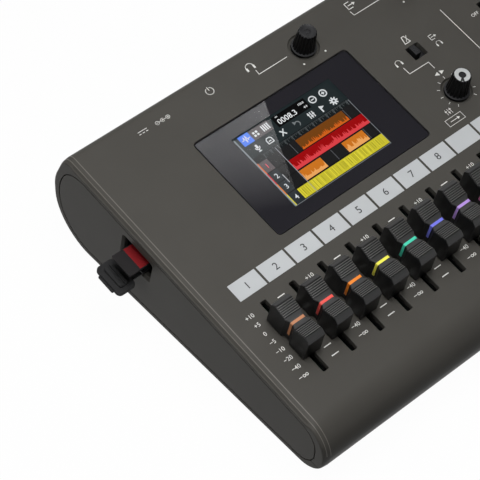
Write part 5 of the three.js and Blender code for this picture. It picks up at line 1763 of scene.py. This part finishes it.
screw_metal = plated("screw_metal", (104, 104, 106), 0.35)
heads = [in_case(underside(turned(HEAD) + (*at, 0.0))) for at in SCREWS_AT]
screw_heads = several("screw_heads", heads)
for wide, long in (CROSS[:2], CROSS[1::-1]):
    arms = [in_case(underside(rings_of(rounded_box(wide, long, CROSS[2]), [(-0.1, -1.2), (0.0, 0.2)], at)))
            for at in SCREWS_AT]
    carve(screw_heads, [several("arms", arms)])
dress(shade(coat(screw_heads, screw_metal)), "root", "metal")
print(len(SCREWS_AT), "screws")

# %% [markdown]
# ## Cells
# Four cells lie side by side, every second one turned round. A cell is turned about its axis: a steel can
# with a dished foot and a nub, and round it a printed film in two plain colours.

# %% Four cells
CELL_RADIUS = 7.2
FILM = 0.12
CAN = [(0.0, 0.3), (4.4, 0.3), (4.8, 0.0), (6.5, 0.0), (7.0, 0.35), (7.08, 0.7), (7.08, 48.4), (6.9, 49.0),
       (6.4, 49.3), (2.9, 49.3), (2.6, 49.4), (2.6, 50.0), (2.3, 50.35), (0.0, 50.4)]
FILMS = (("film", 0.7, 37.0), ("band", 37.0, 48.4))

cell_film = grained_plastic("cell_film", (36, 62, 48), 0.3, grain=0.4, depth=0.002, clouding=0.03,
                            specular=0.5)
cell_band = plated("cell_band", (190, 158, 96), 0.3)


def along_cell(profile, start, heading, middle):
    """A profile (radius, distance from the foot) turned about the cell's axis, which runs along y."""
    x, z, reach = np.moveaxis(turned(profile, 64), -1, 0)
    return in_case(np.stack([middle[0] + x, start + heading * reach, middle[2] + z], -1))


for k in range(4):
    node = f"cell_{k + 1}"
    low, high = case_box(node)
    lies = (low[1], 1, (low + high) / 2) if k % 2 == 0 else (high[1], -1, (low + high) / 2)
    dress(shade(loft(f"{node}_can", along_cell(CAN, *lies), steel)), "root", "cell", node)
    for (part, foot, top), look in zip(FILMS, (cell_film, cell_band)):
        outer, inner = CELL_RADIUS - 0.01, CELL_RADIUS - FILM
        film = along_cell([(inner, foot), (outer, foot + 0.05), (outer, top - 0.05), (inner, top)], *lies)
        dress(shade(loft(f"{node}_{part}", film, look, "join")), "root", "cell")
print("cells", np.round(high - low, 2), "mm each")

# %% [markdown]
# ## Input lamps
# Beside each input knob a small lens shows that a signal comes in. It is unlit: a domed peg of tinted clear
# plastic that comes up through the panel.

# %% Lenses
LENS = [(1.1, -3.3), (1.1, -0.05), (1.02, 0.12), (0.8, 0.28), (0.45, 0.38), (0.0, 0.4)]
lens_plastic = grained_plastic("lens_plastic", (118, 22, 18), 0.2, grain=0.4, depth=0.002, specular=0.5)
lenses = [on_panel(turned(LENS, 32) + (*at, 0.0)) for at in LIGHTS_AT]
dress(shade(several("input_lenses", lenses, lens_plastic)), "root", "display")
print(len(lenses), "lenses")

# %% [markdown]
# ## What stays inside
# The boards, controls and mats inside the case keep the CAD model's shape, and get a finish here. A board
# is dark green solder mask. A wave drawn across it makes the traces under the mask, and small round cells
# on it are tinned pads.

# %% Finishes of the inner pieces
TRACE_SCALE, PAD_SCALE, PAD_SIZE = 260.0, 190.0, 0.13


def circuit_board(name):
    """Solder mask, with traces where a bent wave is high and tin near the middles of round cells."""
    material, tree, place = material_of(name)
    bent = {"Vector": place, "Scale": TRACE_SCALE, "Distortion": 3.0, "Detail": 1.0}
    wave = add(tree, "ShaderNodeTexWave", bent).outputs["Fac"]
    tone = ramp(tree, wave, [(0.55, linear(8, 24, 16)), (0.62, linear(14, 40, 26))])
    mask = principled(tree, Base_Color=tone, Roughness=0.35, Specular_IOR_Level=0.4)
    cells = add(tree, "ShaderNodeTexVoronoi", {"Vector": place, "Scale": PAD_SCALE})
    is_pad = maths(tree, "LESS_THAN", cells.outputs["Distance"], PAD_SIZE)
    tin = principled(tree, Base_Color=linear(190, 188, 180), Metallic=1.0, Roughness=0.4)
    shown(tree, add(tree, "ShaderNodeMixShader", {0: is_pad, 1: mask.outputs[0], 2: tin.outputs[0]}))
    return material


board_mask = circuit_board("board_mask")
FINISHES = {
    board_mask: ("fader_board", "control_board", "knob_board", "main_board"),
    soft_rubber: ("key_mat", "cover_anchor"),
    steel: ("card_socket", "display_module", *(f"{name}_pot" for name in KNOBS)),
}
for finish, inner_nodes in FINISHES.items():
    for name in inner_nodes:
        nodes[name].material_slots[0].material = finish
print(sum(len(inner_nodes) for inner_nodes in FINISHES.values()), "CAD nodes keep their shape")
